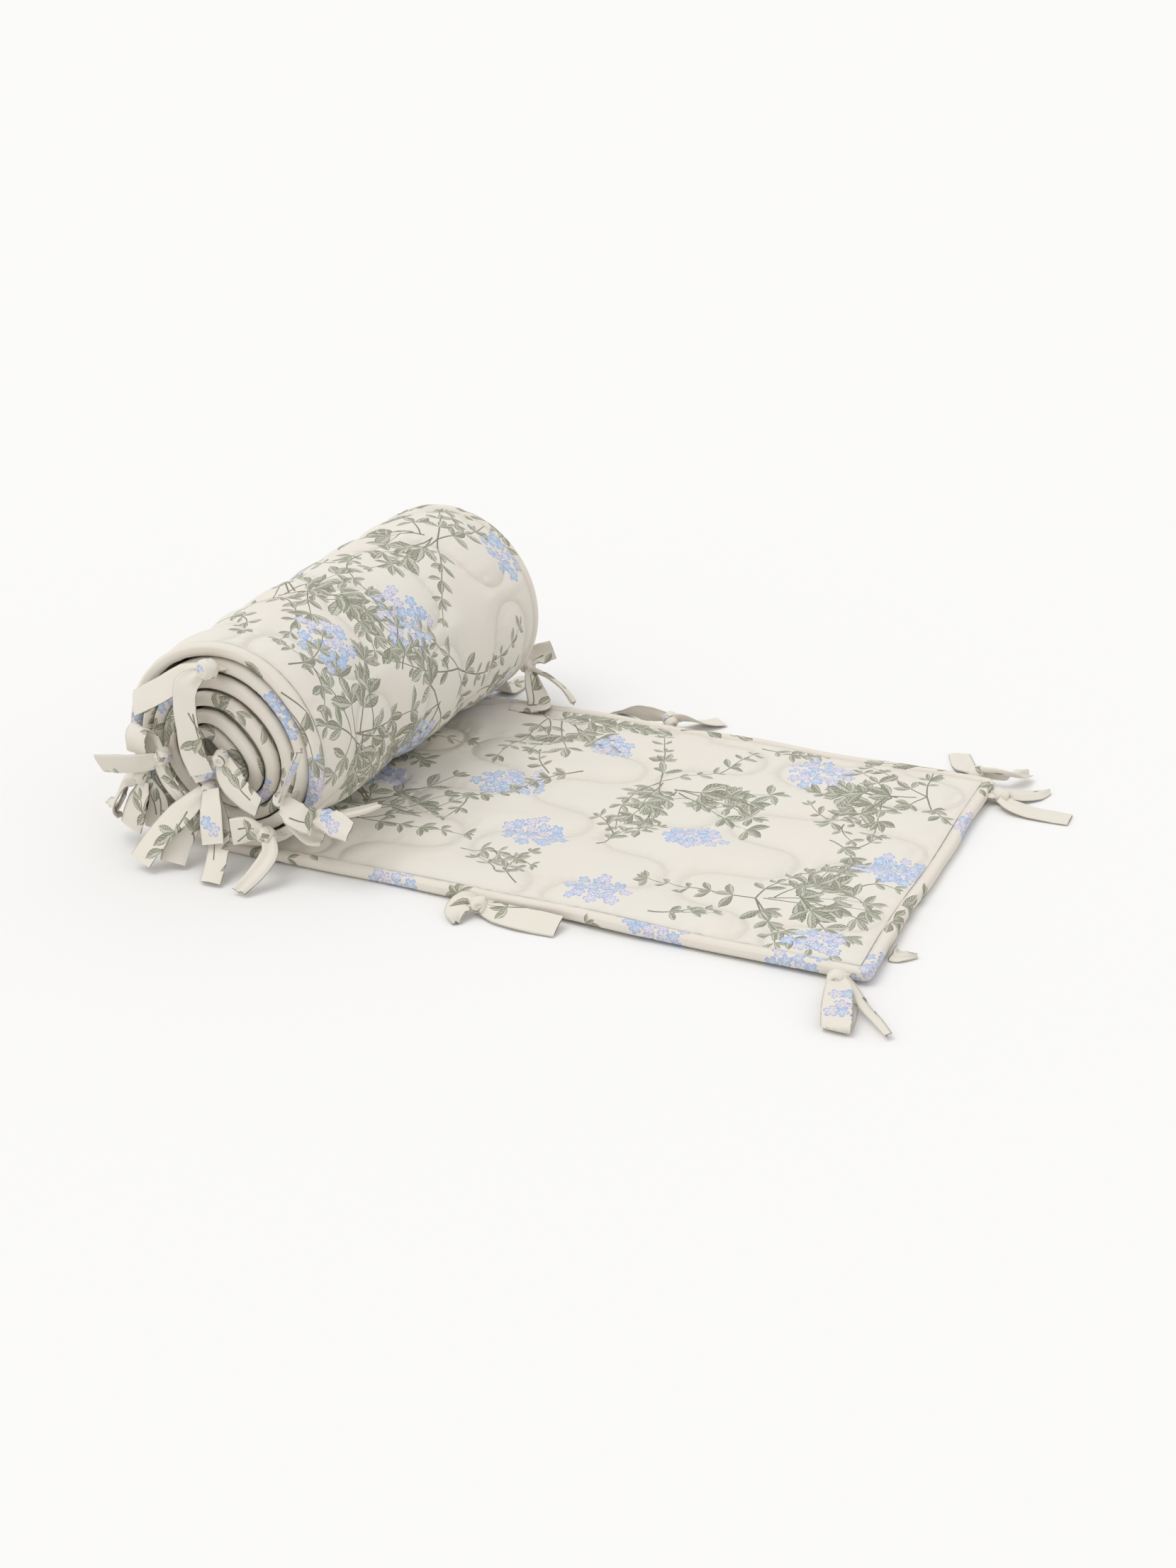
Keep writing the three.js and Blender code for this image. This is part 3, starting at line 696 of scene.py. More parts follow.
# One leaf's ink: a lighter half, a shaded half with strokes along the side veins, a dark rim.
def makeLeafGroup():
    tree, source, sink = newGroup(
        "leafInk",
        [
            ("Leaf", "NodeSocketVector", None), ("Cloth", "NodeSocketVector", None),
            ("Tone", "NodeSocketFloat", 0.5),
            ("Light", "NodeSocketColor", None), ("Middle", "NodeSocketColor", None),
            ("Dark", "NodeSocketColor", None),
        ],
        [("Color", "NodeSocketColor")],
    )
    drawing = leafDrawing
    split = tree.nodes.new("ShaderNodeSeparateXYZ")
    tree.links.new(source.outputs["Leaf"], split.inputs[0])
    along, beside = split.outputs[0], split.outputs[1]
    unsteady = minus(tree, noise(tree, source.outputs["Cloth"], drawing["wobbleScale"]), 0.5)
    wobble = times(tree, unsteady, drawing["wobble"])
    beside = plus(tree, beside, wobble)
    out = maths(tree, "ABSOLUTE", beside)
    slanted = minus(tree, along, times(tree, out, drawing["veinSlant"]))
    veins = maths(tree, "SINE", times(tree, slanted, drawing["veins"]))
    unevenVeins = plus(tree, veins, times(tree, wobble, drawing["veinWobble"]))
    strokes = ramp(tree, unevenVeins, *drawing["strokeEdge"])
    shadedHalf = ramp(tree, beside, drawing["halfEdge"], -drawing["halfEdge"])
    halves = times(tree, shadedHalf, drawing["halfShade"])
    shade = plus(tree, halves, times(tree, strokes, drawing["strokeShade"]))
    shade = plus(tree, shade, times(tree, minus(tree, source.outputs["Tone"], 0.5), drawing["toneShade"]))
    depth = ramp(tree, shade, 0.0, drawing["fullShade"])
    base = mixColour(tree, depth, source.outputs["Light"], source.outputs["Middle"])
    rim = times(tree, ramp(tree, out, *drawing["rimEdge"]), drawing["rim"])
    rib = times(tree, ramp(tree, out, *drawing["ribEdge"]), drawing["rib"])
    dark = maths(tree, "ADD", rim, rib, clamp=True)
    hatched = times(tree, times(tree, shadedHalf, strokes), drawing["darkStrokes"])
    dark = maths(tree, "MAXIMUM", dark, hatched)
    tree.links.new(mixColour(tree, dark, base, source.outputs["Dark"]), sink.inputs["Color"])
    return tree


flowerDrawing = {
    "wobbleScale": 330.0, "rimWobble": 0.35, "rimEdge": (0.70, 0.92),
    "gapEdge": (0.42, 0.16), "gapStart": (0.12, 0.30), "washWobble": 0.9, "washEdge": (0.30, 0.62),
    "bareWobble": 2.2, "bareEdge": (0.62, 0.25), "bare": 0.55, "lines": 0.85,
}


# One small five-petalled flower: washed petals, lines between them and round their edge.
def makeFlowerGroup():
    tree, source, sink = newGroup(
        "flowerInk",
        [
            ("Flower", "NodeSocketVector", None), ("Cloth", "NodeSocketVector", None),
            ("Tone", "NodeSocketFloat", 0.5), ("Paper", "NodeSocketColor", None),
            ("Blue", "NodeSocketColor", None), ("Lilac", "NodeSocketColor", None),
            ("Line", "NodeSocketColor", None),
        ],
        [("Color", "NodeSocketColor")],
    )
    drawing = flowerDrawing
    split = tree.nodes.new("ShaderNodeSeparateXYZ")
    tree.links.new(source.outputs["Flower"], split.inputs[0])
    x, y = split.outputs[0], split.outputs[1]
    wobble = minus(tree, noise(tree, source.outputs["Cloth"], drawing["wobbleScale"]), 0.5)
    angle = maths(tree, "ARCTAN2", y, x)
    radius = maths(tree, "SQRT", plus(tree, maths(tree, "POWER", x, 2.0), maths(tree, "POWER", y, 2.0)))
    lobe = maths(tree, "ABSOLUTE", maths(tree, "COSINE", times(tree, angle, printing["petals"] / 2)))
    waist = printing["petalWaist"]
    edge = maths(tree, "MULTIPLY_ADD", maths(tree, "POWER", lobe, printing["petalRound"]), 1 - waist, waist)
    reach = plus(tree, maths(tree, "DIVIDE", radius, edge), times(tree, wobble, drawing["rimWobble"]))
    rim = ramp(tree, reach, *drawing["rimEdge"])
    between = times(tree, ramp(tree, lobe, *drawing["gapEdge"]), ramp(tree, radius, *drawing["gapStart"]))
    washed = plus(tree, source.outputs["Tone"], times(tree, wobble, drawing["washWobble"]))
    wash = ramp(tree, washed, *drawing["washEdge"])
    petals = mixColour(tree, wash, source.outputs["Lilac"], source.outputs["Blue"])
    fromMiddle = maths(tree, "MULTIPLY_ADD", wobble, drawing["bareWobble"], radius)
    bareness = ramp(tree, fromMiddle, *drawing["bareEdge"])
    petals = mixColour(tree, times(tree, bareness, drawing["bare"]), petals, source.outputs["Paper"])
    lines = times(tree, maths(tree, "MAXIMUM", rim, between), drawing["lines"])
    tree.links.new(mixColour(tree, lines, petals, source.outputs["Line"]), sink.inputs["Color"])
    return tree


colours = {
    "cloth": (0.760, 0.728, 0.655, 1), "clothWarm": (0.775, 0.703, 0.634, 1),
    "leafLight": (0.540, 0.540, 0.445, 1), "leafMiddle": (0.325, 0.330, 0.250, 1),
    "leafDark": (0.118, 0.124, 0.088, 1), "stem": (0.200, 0.205, 0.150, 1),
    "blue": (0.395, 0.560, 0.775, 1), "lilac": (0.630, 0.615, 0.755, 1),
    # The second colour on this line is painted shade, mixed into the cloth along the stitched grooves and the
    # seam.
    "line": (0.345, 0.370, 0.640, 1), "crease": (0.50, 0.455, 0.385, 1),
}

cotton = {
    "roughness": 0.90, "sheen": 0.12, "sheenRoughness": 0.45, "gloss": 0.18, "weaveDepth": 0.00012,
    # The last value on this line is how strongly the painted shade of the grooves darkens the cloth.
    "warmScale": 16.0, "warmEdge": (0.38, 0.70), "warm": 0.45, "crease": 0.30,
    "inkGrain": 900.0, "inkPatchy": 0.25, "inkTaken": 0.80,
}

# What differs from piece to piece: the thread's width, the weave's relief and a slight tint.
finishes = {
    "printedCotton": {"thread": 0.0007, "relief": 0.35, "tint": (1.0, 1.0, 1.0, 1)},
    "bindingCotton": {"thread": 0.0006, "relief": 0.35, "tint": (1.0, 0.98, 0.96, 1)},
    "tieCotton": {"thread": 0.0006, "relief": 0.40, "tint": (1.0, 0.985, 0.965, 1)},
}


# Printed cotton: the same three inks on every piece and painted shade along the grooves, with its own weave,
# finish and tint.
def makeClothMaterial(name, weave, leafInk, flowerInk):
    finish = finishes[name]
    material = bpy.data.materials.new(name)
    material.use_nodes = True
    tree = material.node_tree
    shader = tree.nodes["Principled BSDF"]

    def reading(kind, **settings):
        node = tree.nodes.new(kind)
        for key, value in settings.items():
            setattr(node, key, value)
        return node

    clothUv = reading("ShaderNodeUVMap", uv_map="clothMap").outputs["UV"]
    motifUv = reading("ShaderNodeUVMap", uv_map="motifMap").outputs["UV"]
    ink, tone, crease = (
        reading("ShaderNodeAttribute", attribute_name=title).outputs["Fac"]
        for title in ("ink", "tone", "crease")
    )

    warmth = ramp(tree, noise(tree, clothUv, cotton["warmScale"]), *cotton["warmEdge"])
    printed = mixColour(tree, times(tree, warmth, cotton["warm"]), colours["cloth"], colours["clothWarm"])

    leaf = reading("ShaderNodeGroup", node_tree=leafInk)
    flower = reading("ShaderNodeGroup", node_tree=flowerInk)
    leafSettings = {
        "Leaf": motifUv, "Cloth": clothUv, "Tone": tone,
        "Light": colours["leafLight"], "Middle": colours["leafMiddle"], "Dark": colours["leafDark"],
    }
    flowerSettings = {
        "Flower": motifUv, "Cloth": clothUv, "Tone": tone, "Paper": colours["cloth"],
        "Blue": colours["blue"], "Lilac": colours["lilac"], "Line": colours["line"],
    }
    for node, settings in ((leaf, leafSettings), (flower, flowerSettings)):
        for title, value in settings.items():
            plug(tree, node.inputs[title], value)

    grain = noise(tree, clothUv, cotton["inkGrain"], 1.0)
    taken = maths(tree, "MULTIPLY_ADD", grain, cotton["inkPatchy"], cotton["inkTaken"], clamp=True)
    inkColours = {"leaf": leaf.outputs["Color"], "stem": colours["stem"], "flower": flower.outputs["Color"]}
    for kind, colour in inkColours.items():
        isInk = maths(tree, "COMPARE", ink, float(inks[kind]), 0.1)
        printed = mixColour(tree, times(tree, isInk, taken), printed, colour)
    # Painted shade: the cloth and its print darken towards a dull brown along the stitched grooves and the
    # seam.
    printed = mixColour(tree, times(tree, crease, cotton["crease"]), printed, colours["crease"])
    printed = mixColour(tree, 1.0, printed, finish["tint"], blend="MULTIPLY")
    plug(tree, shader.inputs["Base Color"], printed)

    threads = reading("ShaderNodeGroup", node_tree=weave)
    plug(tree, threads.inputs["Cloth"], clothUv)
    threads.inputs["Thread"].default_value = finish["thread"]
    bump = reading("ShaderNodeBump")
    bump.inputs["Strength"].default_value = finish["relief"]
    bump.inputs["Distance"].default_value = cotton["weaveDepth"]
    plug(tree, bump.inputs["Height"], threads.outputs["Height"])
    plug(tree, shader.inputs["Normal"], bump.outputs["Normal"])
    shader.inputs["Roughness"].default_value = cotton["roughness"]
    shader.inputs["Sheen Weight"].default_value = cotton["sheen"]
    shader.inputs["Sheen Roughness"].default_value = cotton["sheenRoughness"]
    shader.inputs["Specular IOR Level"].default_value = cotton["gloss"]
    return material


clothGroups = (makeWeaveGroup(), makeLeafGroup(), makeFlowerGroup())
panelCotton, bindingCotton, tieCotton = (makeClothMaterial(name, *clothGroups) for name in finishes)
print("cloth finishes made")


# The quilted panel.
quilting = {
    "rowPitch": 72, "firstRow": 42, "wave": 94, "swing": 30, "bulge": 6, "lineStep": 2.5,
    "dip": 2.1, "dipWidth": 9.0, "groove": 0.85, "grooveWidth": 1.2, "grooveSides": (-1.3, 0.0, 1.3),
    "puff": 1.3, "puffRise": (4, 20), "puffLumps": 34,
    "pucker": 0.5, "puckerAt": 5, "puckerWidth": 5, "puckerLumps": 5.5,
    "seamPucker": 1.5, "seamReach": 9, "seamLumps": 6.5,
    "wrinkle": 0.34, "wrinkleLumps": 11, "wrinklePatches": 55,
    # The shades on the next line are painted shade: along the stitch lines, beside them and at the seam.
    "lineShade": (0.85, 0.9), "besideShade": (0.2, 4.0), "seamShade": (0.7, 1.3),    # how dark and how wide
}

panelMesh = {
    "fine": 4.0, "edgeColumns": [0, 14, 40], "middleColumns": [110, 150, 190], "woundSteps": 48,
    "tuck": 1.6,                 # how far the panel goes in under the binding
    "fade": 17,                  # how far in from the seam the cloth reaches its full loft
    "quiltedTurns": 1.2, "shownTurns": 1.06, "hiddenFrom": 8,
}


# Wavy lines across the cloth, every other one mirrored, as far as the roll's outer turn.
def stitchLines():
    lines = []
    quiltedLength = cloth["flatRun"] + windLength(fullTurn * panelMesh["quiltedTurns"])
    for row in range(math.ceil(quiltedLength / quilting["rowPitch"]) + 1):
        side = -1 if row % 2 else 1
        across = np.arange(-quilting["wave"], cloth["width"] + quilting["wave"], 0.5)
        phase = fullTurn * across / quilting["wave"]
        length = quilting["firstRow"] + row * quilting["rowPitch"] + side * quilting["swing"] * np.sin(phase)
        line = np.stack([length, across - quilting["bulge"] * np.sin(2 * phase)], axis=-1)
        run = runOf(line)
        lines.append(readAlong(run, np.arange(0, run[-1], quilting["lineStep"]), line))
    return lines


stitching = stitchLines()
stitchTree = KDTree(sum(len(line) * 3 for line in stitching))
for line in stitching:
    for i in range(len(line) - 1):
        for part in range(3):
            here = line[i] + (line[i + 1] - line[i]) * part / 3
            stitchTree.insert((here[0], here[1], 0), 0)
stitchTree.balance()


def stitchDistance(flat):
    return np.array([stitchTree.find((u, v, 0))[2] for u, v in flat])


# Points on each stitch line and on both sides of it, so that the groove has its own faces.
def besideStitches():
    rows = []
    for line in stitching:
        ahead = np.gradient(line, axis=0)
        ahead /= np.linalg.norm(ahead, axis=1, keepdims=True)
        side = np.stack([-ahead[:, 1], ahead[:, 0]], axis=-1)
        for offset in quilting["grooveSides"]:
            rows.append(line + side * offset)
    return np.concatenate(rows)


# How far a point of the cloth is inside the line where the binding is sewn.
def seamMargin(u, v):
    seam = cloth["seamDepth"]
    return np.minimum(np.minimum(v - seam, cloth["width"] - seam - v), u - seam)


# Half the thickness where the cloth isn't quilted, pressed flat towards the seam.
def plainHeight(u, margin):
    pressed = cloth["pressed"] / 2
    return pressed + (fullLoft(u) / 2 - pressed) * smoothStep(margin, 0, panelMesh["fade"])


# Half the thickness of the quilted cloth: puffed between the stitch lines, pressed at the seam.
def quiltedHeight(flat):
    u, v = flat[:, 0], flat[:, 1]
    seam = cloth["seamDepth"]
    margin = seamMargin(u, v)
    away = stitchDistance(flat)
    inward = smoothStep(margin, 0, panelMesh["fade"])
    height = plainHeight(u, margin)
    height -= quilting["dip"] * np.exp(-(away / quilting["dipWidth"]) ** 2) * (0.25 + 0.75 * inward)
    height -= quilting["groove"] * np.exp(-(away / quilting["grooveWidth"]) ** 2) * smoothStep(margin, -3, 4)
    swelling = 0.7 + 0.6 * unevenness(u, v, quilting["puffLumps"], 3)
    height += quilting["puff"] * inward * smoothStep(away, *quilting["puffRise"]) * swelling
    nearStitch = np.exp(-((away - quilting["puckerAt"]) / quilting["puckerWidth"]) ** 2)
    height += quilting["pucker"] * nearStitch * unevenness(u, v * 0.35, quilting["puckerLumps"], 11, 8)
    nearSeam = np.exp(-np.maximum(margin, 0) / quilting["seamReach"])
    alongSeam = np.where(u - seam < np.minimum(v, cloth["width"] - v) - seam, v, u)
    gather = unevenness(alongSeam, margin * 0.5, quilting["seamLumps"], 23, 7)
    height += quilting["pucker"] * quilting["seamPucker"] * nearSeam * gather * smoothStep(margin, -1, 2)
    creased = 0.5 + 0.5 * unevenness(u, v, quilting["wrinklePatches"], 37)
    height += quilting["wrinkle"] * inward * unevenness(u, v, quilting["wrinkleLumps"], 31, 8) * creased
    return height


# How much painted shade darkens the stitched lines, the cloth beside them and the seam, where their grooves
# are shaded.
def paintedGrooveShade(flat):
    away = stitchDistance(flat)
    margin = np.maximum(seamMargin(flat[:, 0], flat[:, 1]), 0)
    shade = 0
    for distance, title in ((away, "lineShade"), (away, "besideShade"), (margin, "seamShade")):
        dark, wide = quilting[title]
        shade = shade + dark * np.exp(-(distance / wide) ** 2)
    return np.clip(shade, 0, 1)


# The flat end's print and the roll's: what, along, across, heading in degrees and reach.
panelPrint = [
    ("bush", 372, 66, 70, 78), ("bush", 214, 206, 215, 84), ("bush", 92, 62, 150, 76),
    ("bush", 36, 250, 340, 66), ("bush", 330, 272, 175, 66), ("bush", 428, 196, 280, 62),
    ("flower", 306, 160, 0, 25), ("flower", 158, 128, 0, 21), ("flower", 118, 262, 0, 24),
    ("flower", 26, 136, 0, 25), ("flower", 268, 244, 0, 17), ("flower", 186, 34, 0, 22),
    ("flower", 396, 134, 0, 20), ("flower", 40, 26, 0, 18), ("flower", 256, 92, 0, 22),
    ("sprig", 268, 196, 330, 60), ("sprig", 128, 170, 60, 56), ("sprig", 76, 158, 190, 48),
    ("sprig", 340, 128, 200, 52), ("sprig", 214, 96, 100, 50), ("sprig", 168, 284, 200, 46),
    ("sprig", 290, 52, 160, 52), ("sprig", 30, 86, 60, 46), ("sprig", 236, 22, 20, 48),
    ("sprig", 60, 200, 320, 50), ("sprig", 146, 20, 170, 40),
]
rollPrint = [
    ("bush", 486, 60, 20, 72), ("bush", 536, 214, 120, 80), ("bush", 628, 96, 40, 84),
    ("bush", 672, 240, 200, 72), ("bush", 752, 178, 300, 84), ("bush", 748, 40, 80, 62),
    ("bush", 832, 100, 170, 74), ("bush", 862, 244, 250, 72), ("bush", 936, 150, 60, 72),
    ("flower", 574, 34, 0, 22), ("flower", 592, 158, 0, 25), ("flower", 604, 274, 0, 20),
    ("flower", 690, 62, 0, 21), ("flower", 706, 142, 0, 24), ("flower", 704, 284, 0, 18),
    ("flower", 800, 138, 0, 24), ("flower", 812, 268, 0, 21), ("flower", 886, 40, 0, 22),
    ("flower", 904, 200, 0, 19), ("flower", 508, 140, 0, 22),
    ("sprig", 566, 100, 300, 56), ("sprig", 648, 178, 250, 56), ("sprig", 690, 18, 60, 46),
    ("sprig", 786, 88, 30, 52), ("sprig", 790, 226, 120, 50), ("sprig", 880, 130, 200, 50),
    ("sprig", 610, 56, 20, 48), ("sprig", 668, 116, 320, 52), ("sprig", 560, 266, 200, 44),
    ("sprig", 730, 110, 150, 46), ("sprig", 640, 284, 10, 40),
]

# Where the panel's patches lie on the bake's map.
bakeTiles = [
    {"side": 1, "lengths": (0, 428), "corner": (0.005, 0.005), "reach": 0.49},
    {"side": 1, "lengths": (428, 2000), "corner": (0.005, 0.74), "reach": 0.98},
    {"side": -1, "lengths": (0, 428), "corner": (0.68, 0.38), "reach": 0.30},
    {"side": -1, "lengths": (428, 980), "corner": (0.005, 0.37), "reach": 0.62},
    {"side": -1, "lengths": (980, 2000), "corner": (0.51, 0.005), "reach": 0.47},
]


def bakePlace(side, lengthFrom):
    tile = next(
        t for t in bakeTiles
        if t["side"] == side and t["lengths"][0] <= lengthFrom + 1 < t["lengths"][1]
    )
    first, last = tile["lengths"]
    start, scale = np.array([first, 0]), tile["reach"] / (last - first)
    return lambda flat: (flat - start) * scale + tile["corner"]


# A plain piece of cloth as rows of quads, for what the roll hides.
def coarsePatch(lengths, columns):
    flat = np.array([(u, v) for u in lengths for v in columns], float)
    wide = len(columns)
    triangles = []
    for row in range(len(lengths) - 1):
        for column in range(wide - 1):
            a = row * wide + column
            triangles += [(a, a + wide, a + wide + 1), (a, a + wide + 1, a + 1)]
    count = len(triangles)
    return {
        "flat": flat, "triangles": np.array(triangles),
        "local": np.zeros((count, 3, 2)), "ink": np.zeros(count), "tone": np.zeros(count),
        "low": (lengths[0], columns[0]), "high": (lengths[-1], columns[-1]),
    }


# One face of the cloth: 1 is the flat end's top, and -1 is the underside, outermost in the roll.
def panelFace(side):
    flatEnd = cloth["flatRun"]

    def surface(flat):
        u, v = flat[:, 0], flat[:, 1]
        height = plainHeight(u, np.minimum(seamMargin(u, v), clothLength - cloth["seamDepth"] - u))
        if side * (flatEnd - u.mean()) > 0:
            quilted = quiltedHeight(flat)
            angle = windAngle(np.maximum(u - flatEnd, 0))
            pressedOn = np.minimum(smoothStep(angle, 0.05, 0.45), smoothStep(fullTurn - angle, 0.2, 0.6))
            free = 1 if side > 0 else pressedOn
            height = np.minimum(quilted, height) * (1 - free) + quilted * free
        return layCloth(u, v, side * height)

    return surface


# The cloth's two faces, each as its patches from the flat end to the core, with the painted shade of their
# stitched grooves where it shows.
def panelPatches():
    low = cloth["seamDepth"] - panelMesh["tuck"]
    high = cloth["width"] - cloth["seamDepth"] + panelMesh["tuck"]
    flatEnd, coreEnd = cloth["flatRun"], clothLength - low
    shownEnd = flatEnd + windLength(fullTurn * panelMesh["shownTurns"])
    edges = panelMesh["edgeColumns"]
    columns = [low + e for e in edges] + panelMesh["middleColumns"] + [high - e for e in reversed(edges)]
    angles = np.linspace(0, windAngle(coreEnd - flatEnd), round(roll["turns"] * panelMesh["woundSteps"]))
    wound = flatEnd + windLength(angles)
    hidden = wound[wound > shownEnd + panelMesh["hiddenFrom"]]
    fine = (panelMesh["fine"], panelMesh["fine"])
    extra = besideStitches()
    top = [
        (printedPatch((low, low), (flatEnd, high), fine, drawRepeat(panelPrint, 5), extra), paintedGrooveShade),
        (coarsePatch(wound, columns), None),
    ]
    under = [
        (coarsePatch([low, low + 20] + list(np.linspace(80, flatEnd, 8)), columns), None),
        (printedPatch((flatEnd, low), (shownEnd, high), fine, drawRepeat(rollPrint, 8), extra), paintedGrooveShade),
        (coarsePatch(hidden, columns), None),
    ]
    return {1: top, -1: under}


def makePanel():
    shell = ClothShell()
    walls = {}
    for side, patches in panelPatches().items():
        rims = []
        for patch, crease in patches:
            bake = bakePlace(side, patch["low"][0])
            start = shell.add(patch, panelFace(side), bake, flip=side > 0, crease=crease)
            pick = lambda axis, high: list(patchEdge(patch, axis, high) + start)
            rims.append({
                "front": pick(1, False), "back": pick(1, True),
                "first": pick(0, False), "last": pick(0, True),
            })
        for before, after in zip(rims, rims[1:]):
            shell.bridge(before["last"], after["first"], 1, flip=side > 0)
        walls[side] = rims
    for edge, flip in (("front", True), ("back", False)):
        top, under = (sum((rim[edge] for rim in walls[side]), []) for side in (1, -1))
        shell.bridge(top, under, 0, flip=flip)
    for edge, which, flip in (("first", 0, False), ("last", -1, True)):
        shell.bridge(walls[1][which][edge], walls[-1][which][edge], 1, flip=flip)
    piece = shell.finish("quiltedPanel", panelCotton)
    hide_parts("quilted_panel")
    return piece


quiltedPanel = makePanel()


# The binding, folded round all four edges as one strip.
binding = {
    "depth": 9.6, "crest": 4.05, "squareness": 3.0, "innerDrop": 0.30, "cornerRadius": 6.5,
    "stitchDepth": 8.0, "stitchGroove": 0.42, "stitchWidth": 0.7, "stitchPitch": 2.9,
    # stitchShade is how dark the painted shade is along the stitched groove.
    "stitchSides": (-1.0, 0, 1.0), "stitchShade": 0.5,
    "pucker": 0.075, "wobble": 0.5, "swell": 0.04, "plump": 0.9, "leastGap": 1.0,
    "step": (3.6, 2.7), "bakeRows": 6,
}

# The strip's print: how often it is a spray, and how big and how far apart the motifs are.
stripPrint = {
    "sprayShare": 0.58, "sprayReach": (52, 70), "sprayGap": (100, 165), "sprayBeside": 24,
    "headReach": (15, 21), "headGap": (50, 95), "headBeside": (0.25, 0.75),
}


# The folded tape's section by its run round it: depth in from the edge and height over the middle.
def bindingOutline():
    theta = np.linspace(0, fullTurn, 721)
    power = 2 / binding["squareness"]
    cosine, sine = np.cos(theta), np.sin(theta)
    depth = binding["depth"] / 2 * (1 + np.sign(cosine) * np.abs(cosine) ** power)
    height = binding["crest"] * np.sign(sine) * np.abs(sine) ** power
    height *= 1 - binding["innerDrop"] * smoothStep(depth, binding["depth"] * 0.6, binding["depth"])
    run = np.concatenate([[0], np.cumsum(np.hypot(np.diff(depth), np.diff(height)))])
    return run, depth, height


# The cloth's outer edge by its run: down the front edge, up the flat end and back to the core.
def bindingLoop():
    radius, width = binding["cornerRadius"], cloth["width"]
    places = [(clothLength, width / 2)]
    corners = [(clothLength, 0, 0), (0, 0, 1), (0, width, 2), (clothLength, width, 3)]
    for length, across, quarter in corners:
        centreLength = min(max(length, radius), clothLength - radius)
        centreAcross = min(max(across, radius), width - radius)
        for turn in np.linspace(0, fullTurn / 4, 25) + quarter * fullTurn / 4:
            places.append((centreLength + radius * math.cos(turn), centreAcross - radius * math.sin(turn)))
    places.append((clothLength, width / 2))
    places = np.array(places)
    return runOf(places), places


sectionRun, sectionDepth, sectionHeight = bindingOutline()
loopRun, loopPlaces = bindingLoop()


def bindingEdge(run):
    return readAlong(loopRun, np.mod(run, loopRun[-1]), loopPlaces)


# The wound binding swells unevenly into the room between one turn and the next.
def plumpness(length, across, inward):
    angle = windAngle(np.maximum(length - cloth["flatRun"], 0))
    x, z = windPoint(angle, across)
    nextX, nextZ = windPoint(angle + np.where(inward, fullTurn, -fullTurn), across)
    room = (np.hypot(nextX - x, nextZ - z) - binding["leastGap"]) / 2 - binding["crest"]
    fromCore = smoothStep(lastAngle - fullTurn - angle, 0, 0.4)
    fromFlat = smoothStep(angle - fullTurn, 0, 0.4)
    between = np.where(inward, fromCore, fromFlat)
    share = 0.6 + 0.4 * unevenness(length, across * 0.4, 36, 53)
    return binding["plump"] * share * between * np.clip(room, 0, 2) / binding["crest"]


def bindingSurface(flat):
    run = flat[:, 0]
    around = np.mod(flat[:, 1], sectionRun[-1])
    depth = np.interp(around, sectionRun, sectionDepth)
    height = np.interp(around, sectionRun, sectionHeight)
    edge = bindingEdge(run)
    deep = binding["depth"]
    inner = np.clip(edge, deep, [clothLength - deep, cloth["width"] - deep])
    gather = unevenness(run, depth * 0.4, 5.2, 41, 7) * smoothStep(depth, 0.5, 6)
    height = height * (1 + binding["pucker"] * gather + binding["swell"] * unevenness(run, 0, 45, 43))
    height = height * (1 + plumpness(edge[:, 0], edge[:, 1], height > 0))
    stitched = np.exp(-((depth - binding["stitchDepth"]) / binding["stitchWidth"]) ** 2)
    groove = binding["stitchGroove"] * stitched
    height = height - np.sign(height) * groove * np.minimum(np.abs(height), 1)
    part = (depth + binding["wobble"] * unevenness(run, 0, 34, 47) * (1 - depth / deep)) / deep
    place = edge + (inner - edge) * part[:, None]
    return layCloth(place[:, 0], place[:, 1], height)


def fitsWithin(motif, low, high):
    return bool(within(np.array(motif["outline"]), low, high).all())


# Leaves and heads along the tape, like any strip cut from the cloth.
def bindingPrint(length, around):
    draw = random.Random(77)
    motifs, at = [], 40
    while at < length - 60:
        if draw.random() < stripPrint["sprayShare"]:
            beside = around / 2 + eitherWay(draw, stripPrint["sprayBeside"])
            heading = draw.uniform(0, fullTurn)
            motifs += bush(draw, at, beside, heading, draw.uniform(*stripPrint["sprayReach"]))
            at += draw.uniform(*stripPrint["sprayGap"])
        else:
            beside = around * draw.uniform(*stripPrint["headBeside"])
            motifs += flowerHead(draw, at, beside, draw.uniform(*stripPrint["headReach"]))
            at += draw.uniform(*stripPrint["headGap"])
    return [m for m in motifs if fitsWithin(m, (1, 0.5), (length - 1, around - 0.5))]


# Lays a long strip on the bake's map as rows, one over another.
def bakeRows(length, around, rows, low=(0.005, 0.005), size=0.99):
    perRow = length / rows
    scale = min(size / perRow, size / (rows * (around + 2)))

    def bake(corners):
        row = np.clip(corners[..., 0].mean(axis=-1, keepdims=True) // perRow, 0, rows - 1)
        u = (corners[..., 0] - row * perRow) * scale
        v = (corners[..., 1] + row * (around + 2)) * scale
        return np.stack([u + low[0], v + low[1]], axis=-1)

    return bake


# Adds a printed tube, sewn where its two long edges meet, and closes or joins its ends.
def tubeShell(shell, patch, surface, bake, closedEnds, flip=False, crease=None):
    start = shell.add(patch, surface, bake, flip=flip, crease=crease)
    low, high = (patchEdge(patch, 1, at) + start for at in (False, True))
    shell.weld(low, high)
    first, last = (patchEdge(patch, 0, at) + start for at in (False, True))
    if closedEnds:
        for ring, turnOver in ((first, flip), (last, not flip)):
            shell.plain([t[::-1] if turnOver else t for t in endCap(list(ring[:-1]))])
    else:
        shell.weld(first, last)


